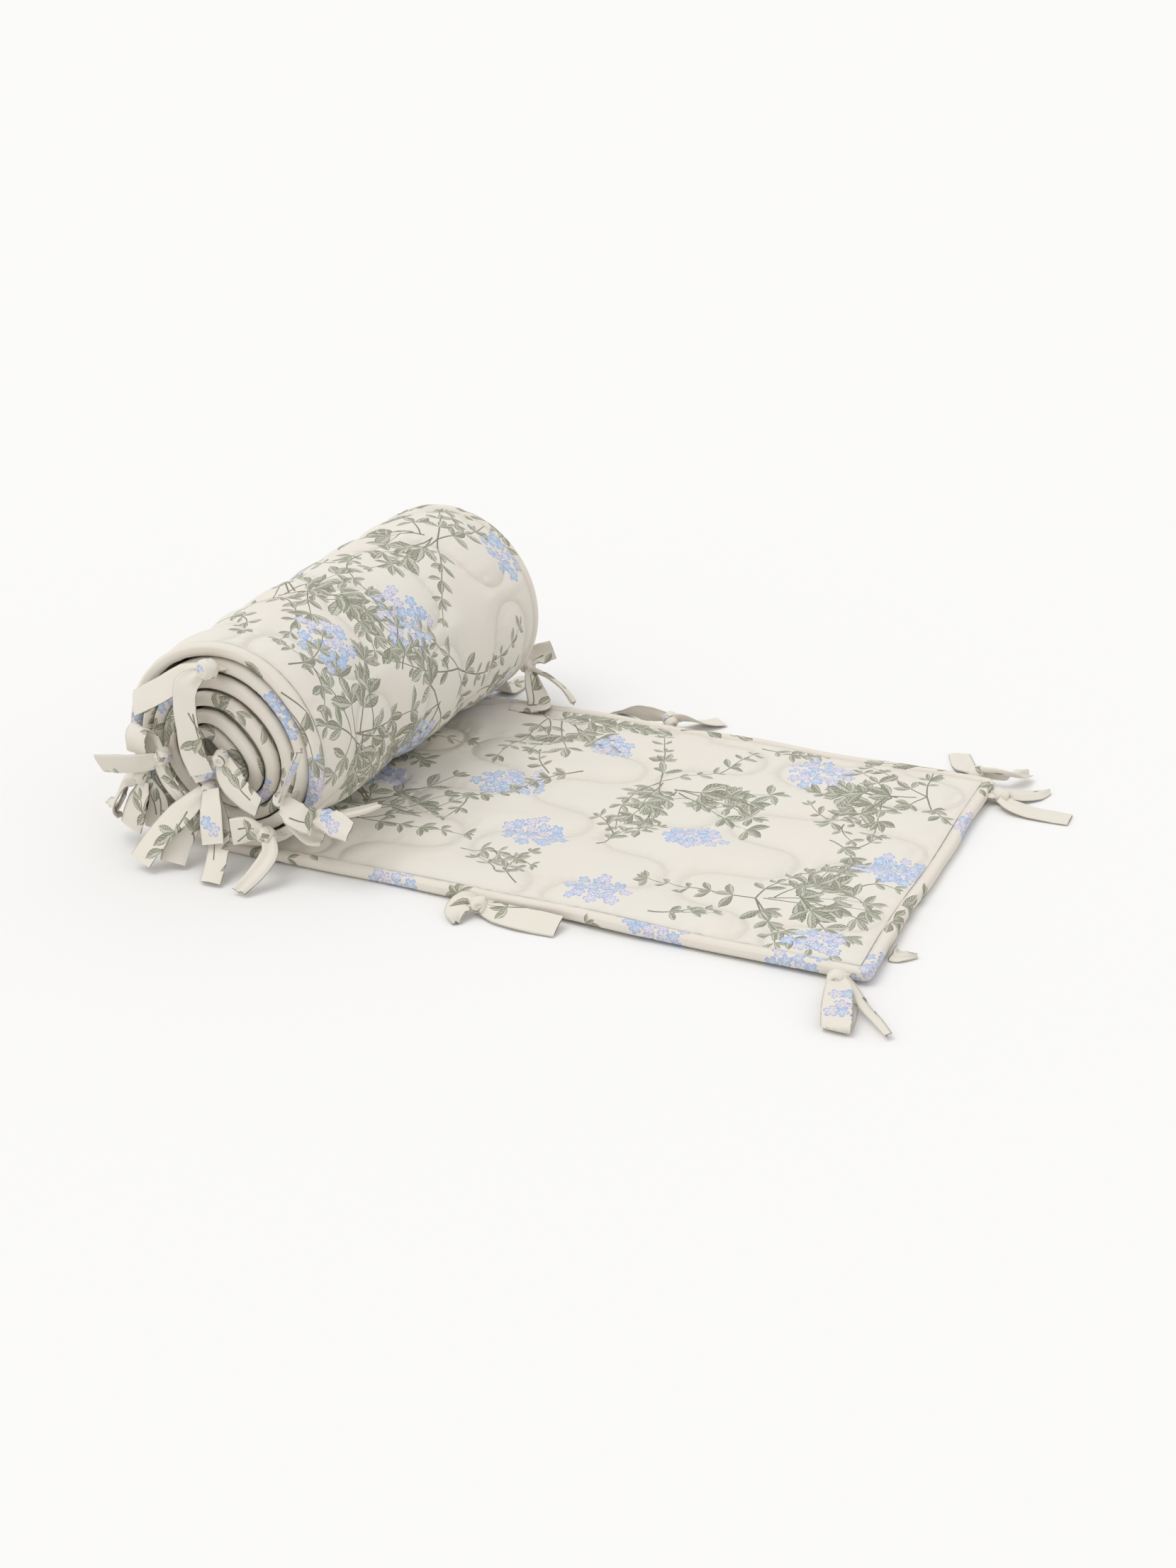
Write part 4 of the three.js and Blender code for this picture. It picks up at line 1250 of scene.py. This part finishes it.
# Closes a flat ring by stepping in from the edge where its ends meet.
def endCap(ring):
    low, high = 0, len(ring) - 1
    triangles, stepLow = [], True
    while high - low > 1:
        ahead = low + 1 if stepLow else high - 1
        triangles.append([ring[low], ring[ahead], ring[high]])
        low, high = (low + 1, high) if stepLow else (low, high - 1)
        stepLow = not stepLow
    return triangles


def makeBinding():
    length, around = loopRun[-1], sectionRun[-1]
    outerFold = len(sectionRun) // 2
    stitchAt = [
        np.interp(binding["stitchDepth"], sectionDepth[half], sectionRun[half])
        for half in (slice(outerFold, None, -1), slice(outerFold, None))
    ]
    runs = np.arange(2, length - 2, binding["stitchPitch"])
    extra = np.concatenate([
        np.stack([runs, np.full(len(runs), at + offset)], axis=-1)
        for at in stitchAt for offset in binding["stitchSides"]
    ])

    # Painted shade along the two stitched grooves of the binding.
    def crease(flat):
        away = np.min([np.abs(flat[:, 1] - at) for at in stitchAt], axis=0)
        return binding["stitchShade"] * np.exp(-(away / binding["stitchWidth"]) ** 2)

    shell = ClothShell()
    patch = printedPatch((0, 0), (length, around), binding["step"], bindingPrint(length, around), extra)
    bake = bakeRows(length, around, binding["bakeRows"])
    tubeShell(shell, patch, bindingSurface, bake, closedEnds=False, flip=True, crease=crease)
    piece = shell.finish("edgeBinding", bindingCotton)
    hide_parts("binding")
    return piece


edgeBinding = makeBinding()


# The ties.
tie = {
    "width": 18, "thickness": 1.5, "squareness": 5,
    "stitchIn": 1.9, "stitchWidth": 0.55, "stitchGroove": 0.18,
    "cup": 0.7, "ripple": 0.35, "pleat": 1.5, "mostPleat": 2.6, "slant": 0.12, "slantReach": 14,
    "clearance": 0.2,                               # over the floor, at the least
    "knotBand": 9.0, "knotThickness": 4.6, "knotSquareness": 2.6, "knotSize": 0.58,
    "strapLimp": 0.5, "knotLimp": 0.9,              # how much a root and a knot ripple, by a tail's 1
    "step": (2.3, 2.2), "bakeGap": 2.0,
}

tapePrinting = {
    "sprayUpTo": 0.50, "headUpTo": 0.76,            # of all ties, and the rest have one leafy twig
    "sprayLeaf": 16, "headReach": (11, 16), "twigReach": 20, "twigLeaf": 14, "hem": 0.8,
}

# Each row of a tail is one bend: the middle of the band, the way its face looks (its turn about
# the vertical from the front, then its tilt up) and how much of its width is spread out there.
frontTies = [
    {
        "name": "corner",
        "knot": (413, -9, 8.5, 6),
        "tails": [
            [
                (413, -11, 9.5, 0, 60, 0.6), (418, -22, 10.5, 0, 75, 0.9), (423, -39, 9.5, 0, 80, 1),
                (427, -52, 7, 0, 70, 1), (428, -55.5, 4.2, 0, 0, 1), (427.5, -52, 2, 0, -85, 1),
                (426, -38, 1.5, 0, -90, 0.95), (424, -22, 2.4, 0, -90, 0.7),
            ],
            [
                (416, -8, 8.5, -50, 20, 0.4), (425, -15, 7, -50, 20, 0.3), (436, -29, 5, -50, 15, 0.35),
                (447, -40, 4.6, -40, 20, 0.35), (456, -49, 4, -40, 20, 0.2),
            ],
        ],
    },
    {
        "name": "second",
        "knot": (184, -8.5, 7, 5.5),
        "tails": [
            [
                (186, -9.5, 6.5, 0, 60, 0.5), (197, -11, 5.6, 0, 66, 0.85),
                (212, -11.5, 5.2, 0, 66, 1), (226, -11, 5.2, 0, 66, 1), (238, -10.5, 5.2, 0, 66, 0.95),
            ],
            [
                (182, -9, 9, 0, 60, 0.5), (175, -11, 9, 0, 50, 0.8), (173, -18, 5.6, 0, 40, 0.95),
                (177, -27, 1.8, 0, 60, 0.3),
            ],
        ],
    },
    {
        "name": "low_left",
        "knot": (-59, -9, 49, 5.5),
        "tails": [
            [
                (-61, -10, 50, -40, 0, 0.6), (-69, -12, 47, -60, -5, 0.9), (-76, -14, 36, -65, -5, 1),
                (-80, -15, 25, -60, -20, 1), (-80.5, -12.5, 22.5, -60, -88, 1),
                (-78, -10.5, 26, 120, -10, 0.95), (-72, -10, 37, 120, 0, 0.8),
            ],
            [
                (-57, -11, 46, -10, 0, 0.6), (-58, -16, 37, -10, 0, 0.95),
                (-61, -19, 26, -10, -5, 1), (-64, -20, 15.5, -10, -8, 1),
            ],
            [
                (-56, -9.5, 46.5, 0, 0, 0.6), (-51, -9, 34, 10, 0, 1), (-51, -9, 22, 10, -5, 1),
                (-52, -10, 13, 10, -5, 0.85),
            ],
        ],
    },
    {
        "name": "left",
        "knot": (-41, -9.5, 66, 5.5),
        "tails": [
            [
                (-42, -11, 65, -5, -20, 0.6), (-55, -17, 61.5, 0, -28, 1), (-69, -19.5, 59.5, 0, -28, 1),
                (-83, -21.5, 58, 0, -28, 1),
            ],
            [
                (-46, -9, 69, 180, 0, 0.7), (-52, -8.5, 78, 180, 10, 1), (-55, -12, 85.5, 0, 80, 1),
                (-57, -15.5, 79, -10, 5, 1), (-57.5, -15, 68, -10, -10, 1),
            ],
            [
                (-42, -12, 62, 20, -10, 0.5), (-36, -14, 52, 30, -10, 0.5), (-27, -14, 42, 40, -10, 0.5),
                (-19, -13, 34, 40, -10, 0.45),
            ],
        ],
    },
    {
        "name": "top",
        "knot": (-1, -10.5, 133, 7.5),
        "tails": [
            [
                (-5, -11, 132, 0, 25, 0.55), (-19, -12, 125, 0, 30, 1), (-36, -11.5, 114, 0, 30, 1),
                (-51, -11, 105, 0, 30, 1), (-60, -10, 99.5, 0, 30, 0.95),
            ],
            [
                (-6, -14, 130, 0, 10, 0.55), (-13, -18, 122, 0, 0, 1), (-14.5, -19, 108, 0, -5, 1),
                (-13.5, -19, 92, 0, -5, 1), (-12, -18, 76, 10, -8, 1), (-7, -17, 63, 20, -10, 0.9),
            ],
        ],
    },
    {
        "name": "right",
        "knot": (47, -9.5, 52, 5.5),
        "tails": [
            [
                (48, -11, 54, 90, 0, 0.6), (53, -13, 63, 95, 0, 0.9), (59, -14, 76, 95, 0, 0.9),
                (65, -14, 90, 95, 5, 0.6),
            ],
            [
                (48, -13, 50, 0, 20, 0.7), (57, -18, 50, 0, 25, 1), (66, -19, 47, 10, 15, 1),
                (71.5, -16, 44.5, 80, 0, 1), (68, -13, 42, 170, -15, 1), (59, -11.5, 41, 180, -10, 0.9),
            ],
            [
                (69, -14, 45, 0, 20, 0.5), (78, -13, 46, 0, 30, 0.8), (88, -14, 45, 0, 30, 1),
                (98, -15, 42, 0, 30, 0.75),
            ],
            [
                (79, -11, 47, 60, 40, 0.4), (87, -3, 47, 60, 40, 0.35), (93, 10, 45.5, 60, 40, 0.35),
                (97, 24, 44, 60, 40, 0.25),
            ],
            [
                (49, -11, 48, 20, 20, 0.5), (58, -10, 37, 20, 40, 0.7), (67, -9, 30.5, 20, 50, 0.75),
                (74, -8, 29, 20, 50, 0.5),
            ],
        ],
    },
    {
        "name": "low_right",
        "knot": (36, -13, 27, 6),
        "tails": [
            [
                (33, -15, 29, 0, 10, 0.6), (25, -20, 31, 0, 10, 1), (17, -24.5, 30, 0, 5, 1),
            ],
            [
                (38.5, -15, 26, 20, 20, 0.55), (44.5, -25, 20.5, 10, 30, 0.7), (41, -37, 11, 0, 45, 0.7),
                (36, -49, 3.8, 0, 60, 0.55),
            ],
        ],
    },
    {
        "name": "low",
        "knot": (-6, -10, 50, 6),
        "tails": [
            [
                (-9, -13, 48, 0, 15, 0.7), (-23, -24, 34, 0, 30, 1), (-33, -34, 21, 0, 35, 1),
                (-40, -45, 7.5, 0, 40, 1),
            ],
            [
                (-8, -12, 45, 30, 0, 0.6), (-17, -20, 30, 30, 10, 0.9), (-22, -28, 15, 30, 20, 1),
                (-22, -35, 5.4, 30, 25, 0.95),
            ],
            [
                (-3, -15, 52, 0, 0, 0.8), (1, -22, 43, 0, 5, 1), (4, -27, 32, 0, 5, 1),
                (6, -30, 22, 0, 0, 1),
            ],
            [
                (-4, -12, 47, 0, 0, 0.6), (5, -20, 30, 0, 5, 0.9), (9, -31, 14, 0, 20, 0.9),
                (12, -45, 3, 0, 60, 0.85),
            ],
        ],
    },
    {
        "name": "core",
        "knot": (3, -9, 73, 5),
        "tails": [
            [
                (5, -10, 72, 10, 5, 0.7), (9.5, -12, 64, 15, 5, 1), (15, -13.5, 56.5, 20, 8, 1),
                (24, -15, 51, 10, 5, 1), (33, -16, 47, 0, 0, 0.9),
            ],
            [
                (1, -10.5, 70, -20, 0, 0.5), (-8, -12, 65.5, -10, 0, 0.9), (-19, -12.5, 60, -10, 0, 0.95),
            ],
        ],
    },
]

# The ties of the back edge and of the flat end that show: their knots and tails, as above.
backTies = [
    {
        "name": "corner",
        "knot": (411.5, 308.5, 7, 5.5),
        "tails": [
            [
                (414, 309.5, 9, 180, 30, 0.5), (425, 308, 9.5, 180, 30, 0.6), (434, 309.5, 9.5, 180, 40, 0.6),
                (440, 317, 9, 120, 50, 0.6), (443, 328, 6, 100, 60, 0.5),
            ],
            [
                (409, 310, 6, 180, 40, 0.5), (403, 318, 4, 180, 70, 0.9), (396, 332, 1.5, 180, 90, 1),
                (388, 350, 1.4, 180, 90, 0.9),
            ],
        ],
    },
    {
        "name": "second",
        "knot": (180.5, 308.5, 8, 5.5),
        "tails": [
            [
                (177, 309.5, 9, 180, 20, 0.5), (167, 310, 9.5, 180, 20, 0.8), (156, 310, 9, 180, 20, 0.85),
                (146, 313, 6, 180, 55, 0.9), (132, 320, 1.8, 180, 90, 0.9),
            ],
            [
                (183, 309.5, 10, 180, 30, 0.5), (190, 312, 9.5, 180, 40, 0.8), (199, 320, 5, 180, 70, 0.95),
                (211, 335, 1.5, 180, 90, 0.9),
            ],
        ],
    },
    {
        "name": "low_right",
        "knot": (64, 308.5, 33, 5.5),
        "tails": [
            [
                (66, 309, 36, 150, 10, 0.5), (72, 313, 41, 150, 10, 0.9), (82, 317, 45, 150, 20, 0.9),
            ],
            [
                (67, 307, 31, 60, 20, 0.5), (75, 298, 22, 60, 30, 0.9), (84, 288, 14, 30, 60, 1),
                (86, 283, 12.5, 10, 90, 1), (78, 280, 11, 0, 88, 0.95), (66, 279, 10.6, 0, 90, 0.8),
            ],
            [
                (67, 309, 31, 120, 30, 0.5), (79, 308, 27.5, 120, 40, 0.6), (91, 306, 23.5, 120, 45, 0.7),
                (101, 303, 18, 120, 45, 0.6), (107, 300, 13, 120, 40, 0.3),
            ],
        ],
    },
]

endTies = [
    {
        "name": "back",
        "knot": (435.6, 281, 6, 5.2),
        "tails": [
            [
                (437, 278, 6, 0, 90, 0.6), (447, 273, 4, 0, 90, 0.95), (464, 272, 1.8, 0, 90, 1),
                (485, 273, 1.4, 0, 90, 1),
            ],
            [
                (437, 284, 6, 0, 90, 0.5), (446, 291, 4.5, 0, 80, 0.75), (455, 301, 3, 0, 85, 0.75),
                (462, 312, 1.6, 0, 90, 0.3),
            ],
        ],
    },
]

# The tie that is tucked under the flat end: only its pointed tail comes out.
tuckedTail = [
    (431.2, 42, 4, 0, 60, 0.7), (433.5, 43, 1.9, 0, 80, 0.75), (439, 45.5, 1.4, 0, 90, 0.5),
    (444.5, 48, 1.3, 0, 90, 0.12),
]

# The ties behind the roll: how far along the cloth each is sewn, how far its two tails lean
# sideways, how far they stand off the roll at their ends, and how long they are.
hangingTies = [
    {"name": "low_left", "at": 513, "leans": (-19, -2), "away": 3, "length": 70},
    {"name": "top", "at": 1051, "leans": (-13, 11), "away": 9, "length": 66},
    {"name": "left", "at": 1305, "leans": (-9, 8), "away": 12, "length": 50},
    {"name": "right", "at": 1483, "leans": (-10, 9), "away": 3, "length": 64},
    {"name": "low", "at": 1756, "leans": (-8, 12), "away": 4, "length": 70},
    {"name": "core", "at": clothLength - 18, "leans": (-11, 8), "away": 13, "length": 52},
]


hanging = {"floor": 1.9, "bend": 7, "startSpread": 0.55, "endSpread": 0.9}


def hangingTail(knot, lean, away, length):
    x, y, z, radius = knot
    bend, floor = hanging["bend"], hanging["floor"]
    foot = z - radius / 2
    drop = min(length, foot - bend)
    spreads = {0: hanging["startSpread"], 0.3: 1, 0.65: 1, 1: 1}
    tail = [
        (x + lean * part, y + 2 + away * part, foot - drop * part, 180, 0, spread)
        for part, spread in spreads.items()
    ]
    lying = length - drop
    if lying > bend:
        tail.append((x + lean * 1.1, y + away + bend, floor + 1.4, 180, 60, 1))
        tail.append((x + lean * 1.3, y + away + bend / 2 + lying, floor, 180, 90, hanging["endSpread"]))
    return tail


def hangingTie(row):
    sewn = layCloth(row["at"], cloth["width"], 0)
    knot = (sewn[0], sewn[1] + 8.5, sewn[2], 5.5)
    tails = [hangingTail(knot, lean, row["away"], row["length"]) for lean in row["leans"]]
    return {"name": row["name"], "knot": knot, "tails": tails}


# A band's section by its run round it, from the middle of one edge.
def roundedOutline(halfWidth, halfThickness, squareness):
    theta = np.linspace(0, fullTurn, 481)
    power = 2 / squareness
    cosine, sine = np.cos(theta), np.sin(theta)
    across = halfWidth * np.sign(cosine) * np.abs(cosine) ** power
    height = halfThickness * np.sign(sine) * np.abs(sine) ** power
    run = np.concatenate([[0], np.cumsum(np.hypot(np.diff(across), np.diff(height)))])
    return run, across, height


tapeSection = roundedOutline(tie["width"] / 2, tie["thickness"] / 2, tie["squareness"])


# A centripetal curve through the points: its run, its places and the values that it carries.
def smoothPath(points, values):
    points, values = np.array(points, float), np.array(values, float)
    padded = np.concatenate([[2 * points[0] - points[1]], points, [2 * points[-1] - points[-2]]])
    part = np.linspace(0, 1, 30, endpoint=False)[:, None]
    places, carried = [], []
    for i in range(len(points) - 1):
        p0, p1, p2, p3 = padded[i:i + 4]
        gaps = [math.sqrt(np.linalg.norm(b - a)) or 1 for a, b in ((p0, p1), (p1, p2), (p2, p3))]
        first, middle, last = gaps
        leave = ((p1 - p0) / first - (p2 - p0) / (first + middle) + (p2 - p1) / middle) * middle
        arrive = ((p2 - p1) / middle - (p3 - p1) / (middle + last) + (p3 - p2) / last) * middle
        cube, square = part ** 3, part ** 2
        places.append(
            (2 * cube - 3 * square + 1) * p1 + (cube - 2 * square + part) * leave
            + (3 * square - 2 * cube) * p2 + (cube - square) * arrive
        )
        carried.append(values[i] + (values[i + 1] - values[i]) * part)
    places = np.concatenate(places + [points[-1:]])
    carried = np.concatenate(carried + [values[-1:]])
    return runOf(places), places, carried


# Folded tape along a path, which carries the face's direction and how much of the width is spread out.
def bandSurface(path, section, seed, looped=False, limp=1.0):
    run, places, carried = path
    outlineRun, outlineAcross, outlineHeight = section
    length, around = run[-1], outlineRun[-1]
    draw = random.Random(seed)
    pleats, phase = draw.choice((1.0, 1.5, 2.0)), draw.uniform(0, fullTurn)
    slant = eitherWay(draw, tie["slant"])
    half = outlineAcross.max()

    def surface(flat):
        across = np.interp(np.mod(flat[:, 1], around), outlineRun, outlineAcross)
        height = np.interp(np.mod(flat[:, 1], around), outlineRun, outlineHeight)
        at = flat[:, 0]
        if looped:
            at = np.mod(at, length)
            ahead, behind = np.mod(at + 0.5, length), np.mod(at - 0.5, length)
        else:
            at = at + slant * across * smoothStep(at, length - tie["slantReach"], length)
            ahead = np.clip(at, 0, length - 0.5) + 0.5
            behind = np.clip(at, 0.5, length) - 0.5
        onPath = np.clip(at, 0, length)
        middle = readAlong(run, onPath, places)
        tangent = readAlong(run, ahead, places) - readAlong(run, behind, places)
        tangent /= np.linalg.norm(tangent, axis=1, keepdims=True)
        if not looped:
            middle = middle + tangent * (at - onPath)[:, None]
        values = readAlong(run, onPath, carried)
        side = np.cross(tangent, values[:, :3])
        side /= np.linalg.norm(side, axis=1, keepdims=True)
        outward = np.cross(side, tangent)
        spread = values[:, 3]
        fold = np.minimum(tie["pleat"], tie["mostPleat"] * (1 - spread)) * limp
        share = across / half
        stitched = np.exp(-((np.abs(across) - half + tie["stitchIn"]) / tie["stitchWidth"]) ** 2)
        bend = fold * np.cos(share * math.pi * pleats + phase)
        bend = bend - tie["cup"] * limp * share ** 2 * (0.6 + 0.6 * unevenness(at, 0, 30, seed + 1))
        bend = bend + tie["ripple"] * limp * unevenness(at, across * 0.6, 13, seed + 2)
        height = height * (1 - stitched * tie["stitchGroove"])
        ridge = middle + side * (across * spread)[:, None] + outward * bend[:, None]
        lowest = ridge[:, 2] - np.abs(outward[:, 2]) * outlineHeight.max()
        ridge[:, 2] += np.maximum(tie["clearance"] - layOrigin[2] - lowest, 0)
        return ridge + outward * height[:, None]

    return surface


def faceDirection(turn, tilt):
    turn, tilt = math.radians(turn), math.radians(tilt)
    return (math.sin(turn) * math.cos(tilt), -math.cos(turn) * math.cos(tilt), math.sin(tilt))


def tailPath(rows):
    return smoothPath([row[:3] for row in rows], [(*faceDirection(row[3], row[4]), row[5]) for row in rows])


# The folded root of a tie, from inside the binding to the knot.
def strapPath(edgeRun, knot):
    edge = bindingEdge(np.array([edgeRun]))[0]
    inward = np.clip(edge, 3, [clothLength - 3, cloth["width"] - 3])
    inside, outside = layCloth(*inward, 0), layCloth(*edge, 0)
    above = layCloth(*edge, 1) - outside
    away = (outside - inside) / max(np.linalg.norm(outside - inside), 1e-6)
    knotAt = np.array(knot[:3])
    points = [inside, outside + away * 0.8, (outside + away * 2 + knotAt) / 2, knotAt]
    return smoothPath(points, [(*above, 0.78), (*above, 0.72), (*above, 0.5), (*above, 0.42)])


# One turn of the knot, round an axis.
def ringPath(knot, axis, size, shift):
    axis = np.array(axis) / np.linalg.norm(axis)
    first = np.cross(axis, (0.31, 0.22, 0.93))
    first /= np.linalg.norm(first)
    second = np.cross(axis, first)
    turns = np.linspace(0, fullTurn, 61)[:, None]
    outward = first * np.cos(turns) + second * np.sin(turns)
    places = np.array(knot[:3]) + axis * shift + outward * size
    return runOf(places), places, np.concatenate([outward, np.ones((len(turns), 1))], axis=1)


# A tie is cut from what cloth was left over, so it shows a spray, a flower head or mostly bare ground.
def tapePrint(draw, length, around):
    kind = draw.random()
    motifs = []
    if kind < tapePrinting["sprayUpTo"]:
        for _ in range(2):
            heading = draw.choice((0, math.pi)) + eitherWay(draw, 0.5)
            start = length * draw.uniform(0.15, 0.45)
            start = start if math.cos(heading) > 0 else length - start
            beside = around * draw.uniform(0.1, 0.9)
            curl = eitherWay(draw, 0.1)
            motifs += branch(draw, start, beside, heading, length * 0.5, tapePrinting["sprayLeaf"], curl)
    elif kind < tapePrinting["headUpTo"]:
        at, beside = length * draw.uniform(0.2, 0.9), around * draw.uniform(0.2, 0.5)
        motifs += flowerHead(draw, at, beside, draw.uniform(*tapePrinting["headReach"]))
    else:
        heading = draw.uniform(0, fullTurn)
        reach, leaf = tapePrinting["twigReach"], tapePrinting["twigLeaf"]
        motifs += branch(draw, length * 0.6, around * 0.75, heading, reach, leaf, 0.1)
    hem = tapePrinting["hem"]
    return [m for m in motifs if fitsWithin(m, (hem, hem), (length - hem, around - hem))]


# Where along the binding each tie is sewn is the place nearest to its knot.
edgeRuns = np.arange(0, loopRun[-1], 3.0)
edgePlaces = bindingEdge(edgeRuns)
edgeTree = KDTree(len(edgeRuns))
for i, place in enumerate(layCloth(edgePlaces[:, 0], edgePlaces[:, 1], 0)):
    edgeTree.insert(place, i)
edgeTree.balance()


def pieceName(node):
    first, *rest = node.split("_")
    return first + "".join(word.title() for word in rest)


# A tie's root and the three turns of its knot, which cross between its first two tails.
def knotBands(knot, tails):
    edgeRun = edgeRuns[edgeTree.find(knot[:3])[1]]
    lead = [np.array(rows[2][:3]) - np.array(rows[0][:3]) for rows in tails[:2]]
    lead = [v / np.linalg.norm(v) for v in lead]
    out = np.array(knot[:3]) - layCloth(*bindingEdge(np.array([edgeRun]))[0], 0)
    out /= np.linalg.norm(out)
    section = roundedOutline(tie["knotBand"] / 2, tie["knotThickness"] / 2, tie["knotSquareness"])
    size = knot[3] * tie["knotSize"]
    # each turn's axis, and how far it is shifted along it
    turns = ((lead[0] - lead[1] + 0.25 * out, 0), (out + 0.35 * lead[0], 1.4), (out - 0.8 * lead[1], -1.6))
    root = [(strapPath(edgeRun, knot), tapeSection, False, tie["strapLimp"])]
    rings = [ringPath(knot, axis, size, shift) for axis, shift in turns]
    return root + [(ring, section, True, tie["knotLimp"]) for ring in rings]


def makeTie(node, knot, tails, seed):
    bands = [(tailPath(rows), tapeSection, False, 1.0) for rows in tails]
    if knot:
        bands += knotBands(knot, tails)
    draw = random.Random(seed)
    flatLength = sum(path[0][-1] * section[0][-1] / tapeSection[0][-1] for path, section, *_ in bands)
    gap = tie["bakeGap"]
    deep = sum(section[0][-1] + gap for _, section, *_ in bands)
    scale = min(0.98 / deep, 0.98 / max(path[0][-1] for path, *_ in bands))
    shell, upTo = ClothShell(), gap
    for i, (path, section, looped, limp) in enumerate(bands):
        length, around = path[0][-1], section[0][-1]
        corner = np.array([gap, upTo])
        upTo += around + gap

        def bake(corners, corner=corner):
            return (corners + corner) * scale

        patch = printedPatch((0, 0), (length, around), tie["step"], tapePrint(draw, length, around))
        surface = bandSurface(path, section, seed * 7 + i, looped, limp)
        tubeShell(shell, patch, surface, bake, closedEnds=not looped)
    piece = shell.finish(pieceName(node), tieCotton)
    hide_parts(node)
    return piece, flatLength


tieRows = [("front", row) for row in frontTies]
tieRows += [("back", row) for row in backTies + [hangingTie(row) for row in hangingTies]]
tieRows += [("end", row) for row in endTies]
for number, (edge, row) in enumerate(tieRows):
    makeTie(f"tie_{edge}_{row['name']}", row["knot"], row["tails"], 101 + number)
makeTie("tie_end_front", None, [tuckedTail], 191)


# The floor, the light and the camera, whose place and aim are in the lay's millimetres.
studio = {
    "floorSize": 60, "floorColour": (0.86, 0.855, 0.845, 1), "floorRoughness": 0.9,
    "sky": (1.0, 1.0, 1.0, 1), "skyStrength": 0.83,
    "keyStrength": 1.00, "keySoftness": math.radians(38), "keyDirection": (0.52, 0.42, -1.5),
    "cameraPlace": (718.3, -1035.6, 613.0), "cameraAim": (210.2, 95.3, 50.0),
    "lens": 48.8, "sensor": 36,
}


def placeFloor():
    bpy.ops.object.select_all(action="DESELECT")
    bpy.ops.mesh.primitive_plane_add(size=studio["floorSize"], location=(0, 0, 0))
    floor = bpy.context.object
    floor.name = "paleFloor"
    material = bpy.data.materials.new("paleFloor")
    material.use_nodes = True
    shader = material.node_tree.nodes["Principled BSDF"]
    shader.inputs["Base Color"].default_value = studio["floorColour"]
    shader.inputs["Roughness"].default_value = studio["floorRoughness"]
    shader.inputs["Specular IOR Level"].default_value = 0.0
    floor.data.materials.append(material)


def placeLight():
    world = bpy.data.worlds.new("studio")
    world.use_nodes = True
    sky = world.node_tree.nodes["Background"]
    sky.inputs["Color"].default_value = studio["sky"]
    sky.inputs["Strength"].default_value = studio["skyStrength"]
    bpy.context.scene.world = world
    bpy.ops.object.light_add(type="SUN", location=(-1, 0, 2))
    key = bpy.context.object
    key.name = "softKey"
    key.data.energy = studio["keyStrength"]
    key.data.angle = studio["keySoftness"]
    key.rotation_euler = Vector(studio["keyDirection"]).to_track_quat("-Z", "Y").to_euler()


def placeCamera():
    place, aim = (
        (np.array(studio[title]) + layOrigin) * millimetre for title in ("cameraPlace", "cameraAim")
    )
    data = bpy.data.cameras.new("camera")
    data.lens = studio["lens"]
    data.sensor_width = studio["sensor"]
    camera = bpy.data.objects.new("camera", data)
    bpy.context.scene.collection.objects.link(camera)
    camera.location = place
    camera.rotation_euler = Vector(aim - place).to_track_quat("-Z", "Y").to_euler()
    bpy.context.scene.camera = camera


placeFloor()
placeLight()
placeCamera()
bpy.context.scene.view_settings.view_transform = "Standard"
print("stage and camera placed")
